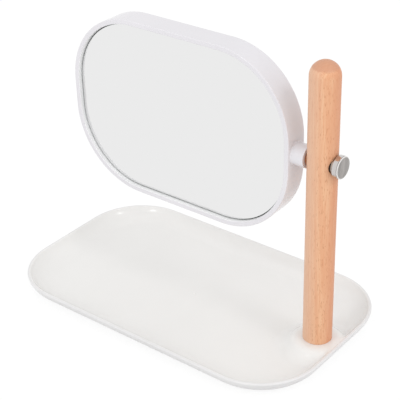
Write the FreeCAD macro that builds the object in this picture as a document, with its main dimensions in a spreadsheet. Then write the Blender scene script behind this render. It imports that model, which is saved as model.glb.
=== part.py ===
import FreeCAD, Part
import math
import os
import re
import Sketcher

# Vanity mirror on a storage tray.
#
# A moulded, dish-shaped tray carries a beech post on a boss at its right end. A white moulded frame with
# a silvered glass stands beside the post on a short neck. A threaded stud runs from a clamp knob through
# the post into the neck, so the knob draws the neck against the post, and loosened a little it lets the
# mirror turn about the stud.
#
# Axes: +X along the tray towards the post, -Y the side that the glass faces, +Z up. The origin is at the
# centre of the tray's outline, on the plane that its foot pads stand on. Lengths are in millimetres.

SIZES = {
    # tray: outline at the rim, wall section and floor
    "tray_length": 250.0,
    "tray_width": 148.5,
    "tray_corner_radius": 46.0,
    "tray_height": 11.5,
    "underside_radius": 14.0,
    "dish_depth": 9.0,
    "dish_wall_radius": 16.0,
    "rim_width": 2.4,
    "rim_round": 1.1,
    "gate_dimple_diameter": 2.6,
    "gate_dimple_depth": 0.3,
    # boss that lifts the post's foot from the dish almost to the rim
    "boss_top_diameter": 34.8,
    "boss_below_rim": 0.5,
    "boss_flank_radius": 12.0,
    "boss_flank_sink": 0.1,
    "boss_edge_round": 8.0,
    # foot pads, let into the tray's underside
    "pad_diameter": 12.0,
    "pad_thickness": 1.5,
    "pad_seat_depth": 0.5,
    "pad_seat_clearance": 0.2,
    "pad_inset_x": 32.0,
    "pad_inset_y": 28.0,
    # post
    "post_diameter": 20.0,
    "post_length": 203.0,
    "post_inset": 18.6,
    "pivot_above_foot": 134.9,
    # screw, washer and pin that hold the post on the boss
    "thread_diameter": 5.0,
    "thread_clearance": 0.05,
    "insert_diameter": 7.0,
    "insert_length": 8.0,
    "insert_run_out": 1.5,
    "boss_web": 5.0,
    "screw_recess_diameter": 14.0,
    "screw_hole_clearance": 0.25,
    "screw_head_diameter": 9.5,
    "screw_head_height": 3.0,
    "screw_washer_diameter": 11.0,
    "screw_washer_thickness": 1.0,
    "pin_diameter": 3.0,
    "pin_offset": 6.5,
    "pin_in_post": 8.0,
    "pin_in_boss": 4.0,
    "pin_end_gap": 0.2,
    "pin_clearance": 0.05,
    # mirror frame
    "mirror_length": 182.5,
    "mirror_height": 129.5,
    "mirror_corner_radius": 55.0,
    "mirror_thickness": 18.0,
    "mirror_to_post": 9.8,
    "mirror_drop": 1.7,
    "lip_width": 3.5,
    "lip_round": 0.6,
    "front_round": 0.6,
    "back_round": 0.6,
    "frame_wall": 4.2,
    "web_thickness": 2.0,
    # glass, its tape and the back cover
    "glass_setback": 3.2,
    "glass_gap": 0.6,
    "glass_thickness": 2.0,
    "glass_edge_bevel": 0.3,
    "tape_thickness": 1.0,
    "tape_length": 110.0,
    "tape_width": 18.0,
    "tape_inset": 24.6,
    "cover_thickness": 2.2,
    "cover_gap": 0.2,
    "cover_ledge": 1.8,
    "cover_edge_round": 0.5,
    # countersunk screws of the back cover and the bosses they enter
    "cover_screw_inset_x": 32.2,
    "cover_screw_inset_z": 27.8,
    "cover_boss_diameter": 7.0,
    "cover_screw_diameter": 2.6,
    "cover_screw_head": 5.0,
    "cover_screw_length": 7.0,
    "cover_screw_clearance": 0.05,
    # cross slots of the screws
    "slot_width": 0.8,
    "slot_depth": 1.0,
    "screw_slot_length": 5.0,
    "cover_slot_length": 3.4,
    # neck, clamp knob and the washers sunk into the post. The knob's washer is thick and stands proud.
    "neck_diameter": 15.2,
    "clamp_gap": 0.1,
    "stud_clearance": 0.1,
    "friction_washer_diameter": 10.4,
    "friction_washer_thickness": 1.6,
    "knob_washer_diameter": 11.7,
    "knob_washer_thickness": 3.4,
    "knob_washer_sink": 2.5,
    "washer_seat_clearance": 0.15,
    "knob_diameter": 15.2,
    "knob_length": 4.3,
    "knob_bevel": 0.35,
    "knob_back_bevel": 0.3,
    "knob_groove_from_face": 0.6,
    "knob_groove_width": 0.3,
    "knob_groove_depth": 0.4,
    "knob_bore_depth": 2.6,
    "stud_end_gap": 0.5,
}

PLACES = {
    # heights above the plane that the pads stand on
    "underside_z": "pad_thickness - pad_seat_depth",
    "rim_z": "underside_z + tray_height",
    "dish_floor_z": "rim_z - dish_depth",
    "boss_top_z": "rim_z - boss_below_rim",
    "screw_recess_z": "boss_top_z - boss_web",
    "pivot_z": "boss_top_z + pivot_above_foot",
    "dome_z": "boss_top_z + post_length - post_diameter / 2",
    "mirror_z": "pivot_z - mirror_drop",
    # how far the wall's arcs have come in from the vertical at the height of the rim
    "underside_overrun": "underside_radius - sqrt(underside_radius ^ 2"
                         " - max(underside_radius - tray_height; 0) ^ 2)",
    "dish_overrun": "dish_wall_radius - sqrt(dish_wall_radius ^ 2"
                    " - max(dish_wall_radius - dish_depth; 0) ^ 2)",
    # the boss's concave flank, an arc that runs out on the dish's floor, before its top edge is rounded
    "boss_flank_height": "boss_top_z - dish_floor_z + boss_flank_sink",
    "boss_foot_radius": "boss_top_diameter / 2 + sqrt(boss_flank_radius ^ 2"
                        " - max(boss_flank_radius - boss_flank_height; 0) ^ 2)",
    # places along X
    "post_x": "tray_length / 2 - post_inset",
    "post_left_x": "post_x - post_diameter / 2",
    "post_right_x": "post_x + post_diameter / 2",
    "neck_end_x": "post_left_x - clamp_gap",
    "knob_washer_x": "post_right_x - knob_washer_sink",
    "knob_back_x": "knob_washer_x + knob_washer_thickness + clamp_gap",
    "mirror_x": "post_left_x - mirror_to_post - mirror_length / 2",
    # places along Y, from the mirror's front to its back
    "mirror_front_y": "0 - mirror_thickness / 2",
    "glass_front_y": "mirror_front_y + glass_setback",
    "glass_back_y": "glass_front_y + glass_thickness",
    "web_front_y": "glass_back_y + tape_thickness",
    "web_back_y": "web_front_y + web_thickness",
    "mirror_back_y": "mirror_thickness / 2",
    "cover_seat_y": "mirror_back_y - cover_thickness",
    # round pieces
    "screw_length": "screw_washer_thickness + boss_web + insert_length",
    "insert_bore": "thread_diameter + 2 * thread_clearance",
    "insert_hole_depth": "insert_length + insert_run_out",
    "stud_bore": "thread_diameter + 2 * stud_clearance",
}

SHEET_OF = {**dict.fromkeys(SIZES, "Sizes"), **dict.fromkeys(PLACES, "Places")}
TURNS = {
    "X": FreeCAD.Rotation(FreeCAD.Vector(0, 1, 0), 90),
    "Z": FreeCAD.Rotation(),
}

doc = FreeCAD.newDocument("vanity_mirror")
node_objects = []


# ---- sheet and formulas -----------------------------------------------------------------------------

def formula(text):
    """Turn a formula of plain size names into one that names their sheets."""
    def with_sheet(word):
        name = word.group()
        return f"{SHEET_OF[name]}.{name}" if name in SHEET_OF else name
    return re.sub(r"[a-z]\w*", with_sheet, text)


def fill_sheet(sheet_name, rows):
    """Write one named value to a row, its name in column A and the value under that alias in B."""
    sheet = doc.addObject("Spreadsheet::Sheet", sheet_name)
    for row, (name, content) in enumerate(rows.items(), start=1):
        sheet.set(f"A{row}", name)
        sheet.set(f"B{row}", content)
        sheet.setAlias(f"B{row}", name)
    doc.recompute()
    return sheet


fill_sheet("Sizes", {name: str(number) for name, number in SIZES.items()})
places_sheet = fill_sheet("Places", {name: "=" + formula(text) for name, text in PLACES.items()})


def value(text):
    """Work out a formula of size names as a number."""
    return float(places_sheet.evalExpression(formula(text)))


def bind(thing, **properties):
    """Bind properties of an object to formulas."""
    for name, text in properties.items():
        thing.setExpression(name, formula(text))


def place(thing, x="0", y="0", z="0"):
    """Bind an object's place to formulas, keeping its turn."""
    for axis, text in (("x", x), ("y", y), ("z", z)):
        thing.setExpression(f"Placement.Base.{axis}", formula(text))


# ---- sketches ---------------------------------------------------------------------------------------

def new_body(name):
    return doc.addObject("PartDesign::Body", name)


def sketch_on(body, name, plane, along_normal="0", x="0", y="0"):
    """Attach a sketch to one of its body's origin planes, moved by formulas in the plane's own axes."""
    sketch = body.newObject("Sketcher::SketchObject", name)
    support = next(item for item in body.Origin.OriginFeatures if item.Role == plane)
    sketch.AttachmentSupport = [(support, "")]
    sketch.MapMode = "FlatFace"
    for axis, text in (("x", x), ("y", y), ("z", along_normal)):
        sketch.setExpression(f"AttachmentOffset.Base.{axis}", formula(text))
    return sketch


def dimension(sketch, kind, *arguments, text):
    """Add a dimension to a sketch and bind it to a formula."""
    index = sketch.addConstraint(Sketcher.Constraint(kind, *arguments, value(text)))
    sketch.setExpression(f"Constraints[{index}]", formula(text))


def hold(sketch, edge, point, axis, text):
    """Keep one point of a sketch at a formula's distance from the sketch's origin."""
    if text == "0":
        sketch.addConstraint(Sketcher.Constraint("PointOnObject", edge, point, -2 if axis == "X" else -1))
    elif value(text) > 0:
        dimension(sketch, f"Distance{axis}", -1, 1, edge, point, text=text)
    else:
        dimension(sketch, f"Distance{axis}", edge, point, -1, 1, text=f"0 - ({text})")


def draw_polygon(sketch, corners):
    """Draw a closed polygon, each corner held at two formulas."""
    points = [FreeCAD.Vector(value(x), value(y), 0) for x, y in corners]
    count = len(points)
    for i in range(count):
        sketch.addGeometry(Part.LineSegment(points[i], points[(i + 1) % count]), False)
    for i in range(count):
        sketch.addConstraint(Sketcher.Constraint("Coincident", i, 2, (i + 1) % count, 1))
    for i, (x, y) in enumerate(corners):
        hold(sketch, i, 1, "X", x)
        hold(sketch, i, 1, "Y", y)


def draw_circle(sketch, diameter, x="0", y="0"):
    """Draw a circle with its centre held at two formulas."""
    centre = FreeCAD.Vector(value(x), value(y), 0)
    circle = Part.Circle(centre, FreeCAD.Vector(0, 0, 1), value(diameter) / 2)
    edge = sketch.addGeometry(circle, False)
    dimension(sketch, "Diameter", edge, text=diameter)
    hold(sketch, edge, 3, "X", x)
    hold(sketch, edge, 3, "Y", y)


def draw_rounded_rectangle(sketch, length, height, radius):
    """Draw a rectangle with round corners, centred on the sketch's origin."""
    a, b, r = value(length) / 2, value(height) / 2, value(radius)
    sides = [((r - a, -b), (a - r, -b)), ((a, r - b), (a, b - r)),
             ((a - r, b), (r - a, b)), ((-a, b - r), (-a, r - b))]
    centres = [(a - r, r - b), (a - r, b - r), (r - a, b - r), (r - a, r - b)]
    for start, end in sides:
        sketch.addGeometry(Part.LineSegment(FreeCAD.Vector(*start, 0), FreeCAD.Vector(*end, 0)), False)
    for i, centre in enumerate(centres):
        circle = Part.Circle(FreeCAD.Vector(*centre, 0), FreeCAD.Vector(0, 0, 1), r)
        start_angle = math.radians(90 * (i - 1))
        sketch.addGeometry(Part.ArcOfCircle(circle, start_angle, start_angle + math.pi / 2), False)
    for i in range(4):
        sketch.addConstraint(Sketcher.Constraint("Tangent", i, 2, 4 + i, 1))
        sketch.addConstraint(Sketcher.Constraint("Tangent", 4 + i, 2, (i + 1) % 4, 1))
        sketch.addConstraint(Sketcher.Constraint("Horizontal" if i % 2 == 0 else "Vertical", i))
    for i in range(1, 4):
        sketch.addConstraint(Sketcher.Constraint("Equal", 4, 4 + i))
    sketch.addConstraint(Sketcher.Constraint("Symmetric", 0, 1, 2, 1, -1, 1))
    dimension(sketch, "DistanceX", 3, 1, 1, 1, text=length)
    dimension(sketch, "DistanceY", 0, 1, 2, 1, text=height)
    dimension(sketch, "Radius", 4, text=radius)


# ---- features ---------------------------------------------------------------------------------------

def pad(body, sketch, length, reverse=False):
    """Raise a sketch along its plane's normal, or against it when reversed."""
    feature = body.newObject("PartDesign::Pad", f"{sketch.Name}_pad")
    feature.Profile = sketch
    feature.Reversed = reverse
    bind(feature, Length=length)
    doc.recompute()
    return feature


def pocket(body, sketch, depth, reverse=False):
    """Cut a sketch into the body against its plane's normal, or along it when reversed."""
    before = body.Shape.Volume
    feature = body.newObject("PartDesign::Pocket", f"{sketch.Name}_pocket")
    feature.Profile = sketch
    feature.Reversed = reverse
    bind(feature, Length=depth)
    doc.recompute()
    if not body.Shape.Volume < before:
        raise ValueError(f"{feature.Name} cuts nothing")
    return feature


def revolve(body, sketch):
    """Turn a sketch a full round about its horizontal axis."""
    feature = body.newObject("PartDesign::Revolution", f"{sketch.Name}_turned")
    feature.Profile = sketch
    feature.ReferenceAxis = (sketch, ["H_Axis"])
    feature.Angle = 360
    doc.recompute()
    return feature


def edges_in_plane(shape, axis, position):
    """Name the edges of a shape that lie in one plane across an axis."""
    names = []
    for i, edge in enumerate(shape.Edges, start=1):
        low = getattr(edge.BoundBox, axis + "Min")
        high = getattr(edge.BoundBox, axis + "Max")
        if abs(low - position) < 0.01 and abs(high - position) < 0.01:
            names.append(f"Edge{i}")
    return names


def fillet(body, feature, edge_names, radius):
    """Round edges of a body's last feature."""
    rounded = body.newObject("PartDesign::Fillet", f"{feature.Name}_round")
    rounded.Base = (feature, edge_names)
    bind(rounded, Radius=radius)
    doc.recompute()
    return rounded


def cylinder(name, diameter, length, along="Z", **at):
    """A Part cylinder from its place along an axis."""
    rod = doc.addObject("Part::Cylinder", name)
    rod.Placement = FreeCAD.Placement(FreeCAD.Vector(), TURNS[along])
    bind(rod, Radius=f"({diameter}) / 2", Height=length)
    place(rod, **at)
    return rod


def box(name, length, width, height, **at):
    """A Part box from its lowest corner."""
    block = doc.addObject("Part::Box", name)
    bind(block, Length=length, Width=width, Height=height)
    place(block, **at)
    return block


def cut(name, base, *tools):
    """Cut one tool, or the union of several, from a solid."""
    tool = tools[0]
    if len(tools) > 1:
        tool = fuse(f"{name}_tools", *tools)
    result = doc.addObject("Part::Cut", name)
    result.Base = base
    result.Tool = tool
    doc.recompute()
    return result


def fuse(name, *solids):
    """Join solids into one."""
    result = doc.addObject("Part::MultiFuse", name)
    result.Shapes = list(solids)
    doc.recompute()
    return result


def node(label, thing):
    """Give a finished sub-part the label that names its file."""
    thing.Label = label
    node_objects.append(thing)
    return thing


# ---- tray -------------------------------------------------------------------------------------------

def tray_envelope():
    """The tray's outside: a block with round corners and a round underside, cut off at the rim."""
    body = new_body("tray_envelope")
    outline = sketch_on(body, "envelope_outline", "XY_Plane", along_normal="underside_z")
    draw_rounded_rectangle(outline, "tray_length + 2 * underside_overrun",
                           "tray_width + 2 * underside_overrun", "tray_corner_radius + underside_overrun")
    block = pad(body, outline, "max(underside_radius; tray_height) + rim_width")
    lower_edges = edges_in_plane(block.Shape, "Z", value("underside_z"))
    fillet(body, block, lower_edges, "underside_radius")
    above = sketch_on(body, "above_rim", "XY_Plane", along_normal="rim_z")
    draw_rounded_rectangle(above, "tray_length + 4 * rim_width", "tray_width + 4 * rim_width",
                           "tray_corner_radius + 2 * rim_width")
    pocket(body, above, "underside_radius + tray_height", reverse=True)
    return body


def tray_dish():
    """The hollow of the dish, as a solid: flat floor and a wall that curves up to the rim."""
    body = new_body("tray_dish")
    outline = sketch_on(body, "dish_outline", "XY_Plane", along_normal="dish_floor_z")
    inset = "2 * (rim_width - dish_overrun)"
    draw_rounded_rectangle(outline, f"tray_length - {inset}", f"tray_width - {inset}",
                           "tray_corner_radius - rim_width + dish_overrun")
    block = pad(body, outline, "max(dish_wall_radius; dish_depth) + rim_width")
    lower_edges = edges_in_plane(block.Shape, "Z", value("dish_floor_z"))
    fillet(body, block, lower_edges, "dish_wall_radius")
    return body


def rounded_at(name, solid, z, radius):
    """Round the edges of a solid that lie at one height."""
    result = doc.addObject("Part::Fillet", name)
    result.Base = solid
    edges = edges_in_plane(solid.Shape, "Z", value(z))
    result.Edges = [(int(edge[4:]), value(radius), value(radius)) for edge in edges]
    doc.recompute()
    return result


def post_boss():
    """The boss under the post: a round shoulder, and a concave flank that runs out on the floor."""
    core = cylinder("boss_core", "2 * boss_foot_radius", "boss_top_z - underside_z",
                    x="post_x", z="underside_z")
    flank = doc.addObject("Part::Torus", "boss_flank")
    bind(flank, Radius1="boss_foot_radius", Radius2="boss_flank_radius")
    place(flank, x="post_x", z="dish_floor_z - boss_flank_sink + boss_flank_radius")
    return rounded_at("post_boss", cut("boss_turned", core, flank), "boss_top_z", "boss_edge_round")


def pad_places():
    """The four pads' places, as signs and formulas of their distance from the tray's middle."""
    return [(f"{sx} * (tray_length / 2 - pad_inset_x)", f"{sy} * (tray_width / 2 - pad_inset_y)")
            for sx in (-1, 1) for sy in (-1, 1)]


def build_tray():
    hollow = cut("tray_hollow", tray_dish(), post_boss())
    shell = cut("tray_shell", tray_envelope(), hollow)
    rounded = rounded_at("tray_rounded", shell, "rim_z", "rim_round")
    seats = [cylinder(f"pad_seat_{i}", "pad_diameter + 2 * pad_seat_clearance",
                      "underside_z + pad_seat_depth", x=x, y=y)
             for i, (x, y) in enumerate(pad_places(), start=1)]
    recess = cylinder("screw_recess", "screw_recess_diameter", "screw_recess_z", x="post_x")
    hole = cylinder("screw_hole", "thread_diameter + 2 * screw_hole_clearance", "rim_z", x="post_x")
    pin_hole = cylinder("boss_pin_hole", "pin_diameter + 2 * pin_clearance", "pin_in_boss + pin_end_gap",
                        x="post_x", y="0 - pin_offset", z="boss_top_z - pin_in_boss - pin_end_gap")
    dimple = cylinder("gate_dimple", "gate_dimple_diameter", "gate_dimple_depth",
                      z="dish_floor_z - gate_dimple_depth")
    node("tray", cut("tray_moulding", rounded, *seats, recess, hole, pin_hole, dimple))


def build_foot_pads():
    for i, (x, y) in enumerate(pad_places(), start=1):
        node(f"foot_pad_{i}", cylinder(f"pad_{i}", "pad_diameter", "pad_thickness", x=x, y=y))


# ---- post and what holds it -------------------------------------------------------------------------

def build_post():
    """A dowel with a hemispherical top, bored for the insert and pin and across for the clamp."""
    rod = cylinder("post_rod", "post_diameter", "post_length - post_diameter / 2",
                   x="post_x", z="boss_top_z")
    dome = doc.addObject("Part::Sphere", "post_dome")
    bind(dome, Radius="post_diameter / 2")
    place(dome, x="post_x", z="dome_z")
    dowel = fuse("post_dowel", rod, dome)
    insert_hole = cylinder("post_insert_hole", "insert_diameter + 2 * thread_clearance",
                           "insert_hole_depth", x="post_x", z="boss_top_z")
    pin_hole = cylinder("post_pin_hole", "pin_diameter + 2 * pin_clearance", "pin_in_post + pin_end_gap",
                        x="post_x", y="0 - pin_offset", z="boss_top_z")
    cross_bore = cylinder("cross_bore", "stud_bore", "post_diameter", along="X",
                          x="post_left_x", z="pivot_z")
    seats = [cylinder(f"{washer}_seat", f"{washer}_diameter + 2 * washer_seat_clearance", depth, along="X",
                      x=x, z="pivot_z")
             for washer, depth, x in (("friction_washer", "friction_washer_thickness", "post_left_x"),
                                      ("knob_washer", "knob_washer_sink", "knob_washer_x"))]
    node("post", cut("post_turned", dowel, insert_hole, pin_hole, cross_bore, *seats))


def threaded_insert(name, along, **at):
    """A brass threaded insert, plain inside and out."""
    sleeve = cylinder(f"{name}_sleeve", "insert_diameter", "insert_length", along=along, **at)
    bore = cylinder(f"{name}_bore", "insert_bore", "insert_length", along=along, **at)
    node(name, cut(f"{name}_brass", sleeve, bore))


def washer(name, diameter, hole, thickness, along, **at):
    """A flat washer."""
    disc = cylinder(f"{name}_disc", diameter, thickness, along=along, **at)
    eye = cylinder(f"{name}_eye", hole, thickness, along=along, **at)
    node(name, cut(f"{name}_ring", disc, eye))


def cross_slot(name, length, x, z_low):
    """The two crossed slots of a screw head that faces down."""
    arms = [box(f"{name}_arm_x", length, "slot_width", "slot_depth",
                x=f"{x} - {length} / 2", y="0 - slot_width / 2", z=z_low),
            box(f"{name}_arm_y", "slot_width", length, "slot_depth",
                x=f"{x} - slot_width / 2", y=f"0 - {length} / 2", z=z_low)]
    return fuse(f"{name}_cross", *arms)


def build_post_screw():
    """A pan-head screw that points up, its head below the washer in the tray's recess."""
    under_head = "screw_recess_z - screw_washer_thickness"
    head = cylinder("screw_head", "screw_head_diameter", "screw_head_height",
                    x="post_x", z=f"{under_head} - screw_head_height")
    shank = cylinder("screw_shank", "thread_diameter", "screw_length", x="post_x", z=under_head)
    blank = fuse("screw_blank", head, shank)
    slots = cross_slot("screw", "screw_slot_length", "post_x", f"{under_head} - screw_head_height")
    node("post_screw", cut("post_screw_steel", blank, slots))
    washer("post_screw_washer", "screw_washer_diameter", "thread_diameter + 2 * screw_hole_clearance",
           "screw_washer_thickness", "Z", x="post_x", z=under_head)


def build_locating_pin():
    node("locating_pin", cylinder("pin_steel", "pin_diameter", "pin_in_post + pin_in_boss",
                                  x="post_x", y="0 - pin_offset", z="boss_top_z - pin_in_boss"))


# ---- mirror -----------------------------------------------------------------------------------------

def mirror_sketch(body, name, y):
    """A sketch in a plane across Y, centred on the mirror. Its plane's normal points to the front."""
    return sketch_on(body, name, "XZ_Plane", along_normal=f"0 - ({y})", x="mirror_x", y="mirror_z")


def mirror_outline(sketch, inset):
    """The mirror's outline, set in by a formula."""
    draw_rounded_rectangle(sketch, f"mirror_length - 2 * ({inset})", f"mirror_height - 2 * ({inset})",
                           f"mirror_corner_radius - ({inset})")


def edges_inside(shape, names, inset):
    """Of the named edges, those that keep further than an inset from the mirror's outline."""
    reach_x, reach_z = value(f"mirror_length / 2 - {inset}"), value(f"mirror_height / 2 - {inset}")
    inside = []
    for name in names:
        bounds = shape.getElement(name).BoundBox
        far_x = max(bounds.XMax - value("mirror_x"), value("mirror_x") - bounds.XMin)
        far_z = max(bounds.ZMax - value("mirror_z"), value("mirror_z") - bounds.ZMin)
        if far_x < reach_x and far_z < reach_z:
            inside.append(name)
    return inside


def cover_screw_places():
    """The four cover screws' places from the mirror's middle."""
    return [(f"{sx} * (mirror_length / 2 - cover_screw_inset_x)",
             f"{sz} * (mirror_height / 2 - cover_screw_inset_z)") for sx in (-1, 1) for sz in (-1, 1)]


def build_housing():
    """The frame: a block hollowed from both sides of a web, with screw bosses and the neck."""
    body = new_body("housing_body")
    outline = mirror_sketch(body, "housing_outline", "mirror_back_y")
    mirror_outline(outline, "0")
    block = pad(body, outline, "mirror_thickness")
    front = edges_in_plane(block.Shape, "Y", value("mirror_front_y"))
    rounded = fillet(body, block, front, "front_round")
    back = edges_in_plane(rounded.Shape, "Y", value("mirror_back_y"))
    fillet(body, rounded, back, "back_round")

    glass_recess = mirror_sketch(body, "glass_recess", "mirror_front_y")
    mirror_outline(glass_recess, "lip_width")
    recessed = pocket(body, glass_recess, "web_front_y - mirror_front_y")
    front = edges_in_plane(recessed.Shape, "Y", value("mirror_front_y"))
    fillet(body, recessed, edges_inside(recessed.Shape, front, "lip_width / 2"), "lip_round")

    cover_seat = mirror_sketch(body, "cover_seat", "mirror_back_y")
    mirror_outline(cover_seat, "frame_wall - cover_ledge")
    pocket(body, cover_seat, "cover_thickness", reverse=True)
    cavity = mirror_sketch(body, "back_cavity", "cover_seat_y")
    mirror_outline(cavity, "frame_wall")
    pocket(body, cavity, "cover_seat_y - web_back_y", reverse=True)

    bosses = mirror_sketch(body, "cover_bosses", "cover_seat_y")
    for x, z in cover_screw_places():
        draw_circle(bosses, "cover_boss_diameter", x, z)
    pad(body, bosses, "cover_seat_y - web_back_y + web_thickness / 2")
    pilots = mirror_sketch(body, "cover_pilots", "cover_seat_y")
    for x, z in cover_screw_places():
        draw_circle(pilots, "cover_screw_diameter + 2 * cover_screw_clearance", x, z)
    pocket(body, pilots, "cover_screw_length", reverse=True)

    neck = sketch_on(body, "neck_round", "YZ_Plane", along_normal="neck_end_x", y="pivot_z")
    draw_circle(neck, "neck_diameter")
    pad(body, neck, "mirror_to_post - clamp_gap + frame_wall / 2", reverse=True)
    insert_hole = sketch_on(body, "neck_bore", "YZ_Plane", along_normal="neck_end_x", y="pivot_z")
    draw_circle(insert_hole, "insert_diameter + 2 * thread_clearance")
    pocket(body, insert_hole, "insert_hole_depth")
    node("mirror_housing", body)


def build_glass():
    """The silvered glass, with its front edge bevelled."""
    body = new_body("glass_body")
    outline = mirror_sketch(body, "glass_outline", "glass_back_y")
    mirror_outline(outline, "lip_width + glass_gap")
    plate = pad(body, outline, "glass_thickness")
    bevel = body.newObject("PartDesign::Chamfer", "glass_bevel")
    bevel.Base = (plate, edges_in_plane(plate.Shape, "Y", value("glass_front_y")))
    bind(bevel, Size="glass_edge_bevel")
    doc.recompute()
    node("mirror_glass", body)


def build_foam_tapes():
    """Three strips across the glass, the outer two held in from its lower and upper edges."""
    spacing = "(mirror_height / 2 - lip_width - glass_gap - tape_inset)"
    for i in range(3):
        tape = box(f"tape_{i + 1}", "tape_length", "tape_thickness", "tape_width",
                   x="mirror_x - tape_length / 2", y="glass_back_y",
                   z=f"mirror_z + {i - 1} * {spacing} - tape_width / 2")
        node(f"foam_tape_{i + 1}", tape)


def build_back_cover():
    """The back cover, flush in the frame, with a countersunk hole for each screw."""
    body = new_body("cover_body")
    outline = mirror_sketch(body, "cover_outline", "mirror_back_y")
    mirror_outline(outline, "frame_wall - cover_ledge + cover_gap")
    plate = pad(body, outline, "cover_thickness")
    fillet(body, plate, edges_in_plane(plate.Shape, "Y", value("mirror_back_y")), "cover_edge_round")
    sinks = [cover_screw_blank(f"cover_sink_{i}", x, z, "cover_screw_clearance")
             for i, (x, z) in enumerate(cover_screw_places(), start=1)]
    node("back_cover", cut("cover_plate", body, *sinks))


def cover_screw_blank(name, x, z, grow="0"):
    """A countersunk screw without its slots, or grown by a clearance, the hole that it fits."""
    body = new_body(name)
    profile = sketch_on(body, f"{name}_profile", "YZ_Plane")
    head = f"cover_screw_head / 2 + {grow}"
    shank = f"cover_screw_diameter / 2 + {grow}"
    cone_end = "0 - cover_screw_head / 2 + cover_screw_diameter / 2"
    draw_polygon(profile, [("0", "0"), ("0", head), (cone_end, shank),
                           ("0 - cover_screw_length", shank), ("0 - cover_screw_length", "0")])
    revolve(body, profile)
    place(body, x=f"mirror_x + {x}", y="mirror_back_y", z=f"mirror_z + {z}")
    return body


def build_cover_screws():
    for i, (x, z) in enumerate(cover_screw_places(), start=1):
        blank = cover_screw_blank(f"cover_screw_blank_{i}", x, z)
        middle_x = f"mirror_x + {x}"
        middle_z = f"mirror_z + {z}"
        low_y = "mirror_back_y - slot_depth"
        arm_x = box(f"cover_slot_x_{i}", "cover_slot_length", "slot_depth", "slot_width",
                    x=f"{middle_x} - cover_slot_length / 2", y=low_y, z=f"{middle_z} - slot_width / 2")
        arm_z = box(f"cover_slot_z_{i}", "slot_width", "slot_depth", "cover_slot_length",
                    x=f"{middle_x} - slot_width / 2", y=low_y, z=f"{middle_z} - cover_slot_length / 2")
        node(f"cover_screw_{i}", cut(f"cover_screw_steel_{i}", blank, arm_x, arm_z))


# ---- clamp ------------------------------------------------------------------------------------------

def build_knob():
    """The clamp knob's head: a short turned cylinder with a bevelled face and a groove behind it."""
    body = new_body("knob_body")
    profile = sketch_on(body, "knob_profile", "XY_Plane")
    radius = "knob_diameter / 2"
    bore = "thread_diameter / 2 + thread_clearance"
    groove_front = "knob_length - knob_groove_from_face"
    groove_back = f"{groove_front} - knob_groove_width"
    draw_polygon(profile, [
        ("0", bore), ("0", f"{radius} - knob_back_bevel"), ("knob_back_bevel", radius),
        (groove_back, radius), (groove_back, f"{radius} - knob_groove_depth"),
        (groove_front, f"{radius} - knob_groove_depth"), (groove_front, radius),
        ("knob_length - knob_bevel", radius), ("knob_length", f"{radius} - knob_bevel"),
        ("knob_length", "0"), ("knob_bore_depth", "0"), ("knob_bore_depth", bore)])
    revolve(body, profile)
    place(body, x="knob_back_x", z="pivot_z")
    node("knob_head", body)


def build_stud():
    """The stud, from the bottom of the knob's bore to just short of the insert's end."""
    start = "neck_end_x - insert_length + stud_end_gap"
    node("clamp_stud", cylinder("stud_steel", "thread_diameter",
                                f"knob_back_x + knob_bore_depth - ({start})", along="X",
                                x=start, z="pivot_z"))


def build_clamp_washers():
    for name, x in (("friction_washer", "post_left_x"), ("knob_washer", "knob_washer_x")):
        washer(name, f"{name}_diameter", "stud_bore", f"{name}_thickness", "X", x=x, z="pivot_z")


# ---- build, check and write -------------------------------------------------------------------------

def check_model():
    """Stop if any object failed or any sub-part isn't one valid solid."""
    doc.recompute()
    for thing in doc.Objects:
        faults = [word for word in thing.State if word in ("Invalid", "Error")]
        if faults:
            raise ValueError(f"{thing.Label}: {faults}")
    for thing in node_objects:
        shape = thing.Shape
        if shape.isNull() or not shape.isValid() or len(shape.Solids) != 1:
            raise ValueError(f"{thing.Label} isn't one valid solid")


def write_parts():
    os.makedirs("parts", exist_ok=True)
    for thing in node_objects:
        thing.Shape.exportStep(f"parts/{thing.Label}.step")
        bounds = thing.Shape.BoundBox
        print(f"{thing.Label:20s} {thing.Shape.Volume:10.1f} mm3  "
              f"X {bounds.XMin:7.2f} {bounds.XMax:7.2f}  Y {bounds.YMin:6.2f} {bounds.YMax:6.2f}  "
              f"Z {bounds.ZMin:6.2f} {bounds.ZMax:6.2f}")


build_tray()
build_foot_pads()
build_post()
threaded_insert("post_insert", "Z", x="post_x", z="boss_top_z")
build_post_screw()
build_locating_pin()
build_housing()
build_glass()
build_foam_tapes()
build_back_cover()
build_cover_screws()
threaded_insert("neck_insert", "X", x="neck_end_x - insert_length", z="pivot_z")
build_clamp_washers()
build_stud()
build_knob()
check_model()
write_parts()
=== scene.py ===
# %% [markdown]
# # A vanity mirror on a storage tray
# A moulded white tray carries a beech post at its right end. A white frame with a silvered glass stands
# beside the post on a short neck, and a small chrome knob clamps it there, so that the mirror can tilt.
#
# The working model already exists: every piece at its size and place, with the joints that move it. This
# lesson dresses it. The pieces that the eye rests on are modelled again, with finer edges and blends,
# and the small hidden pieces keep the shape that they have and only get a finish.
#
# Everything is in metres, +X runs along the tray towards the post, the glass faces -Y, and +Z is up.

# %% Load the working model
import math

import bpy
from mathutils import Matrix, Vector


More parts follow.
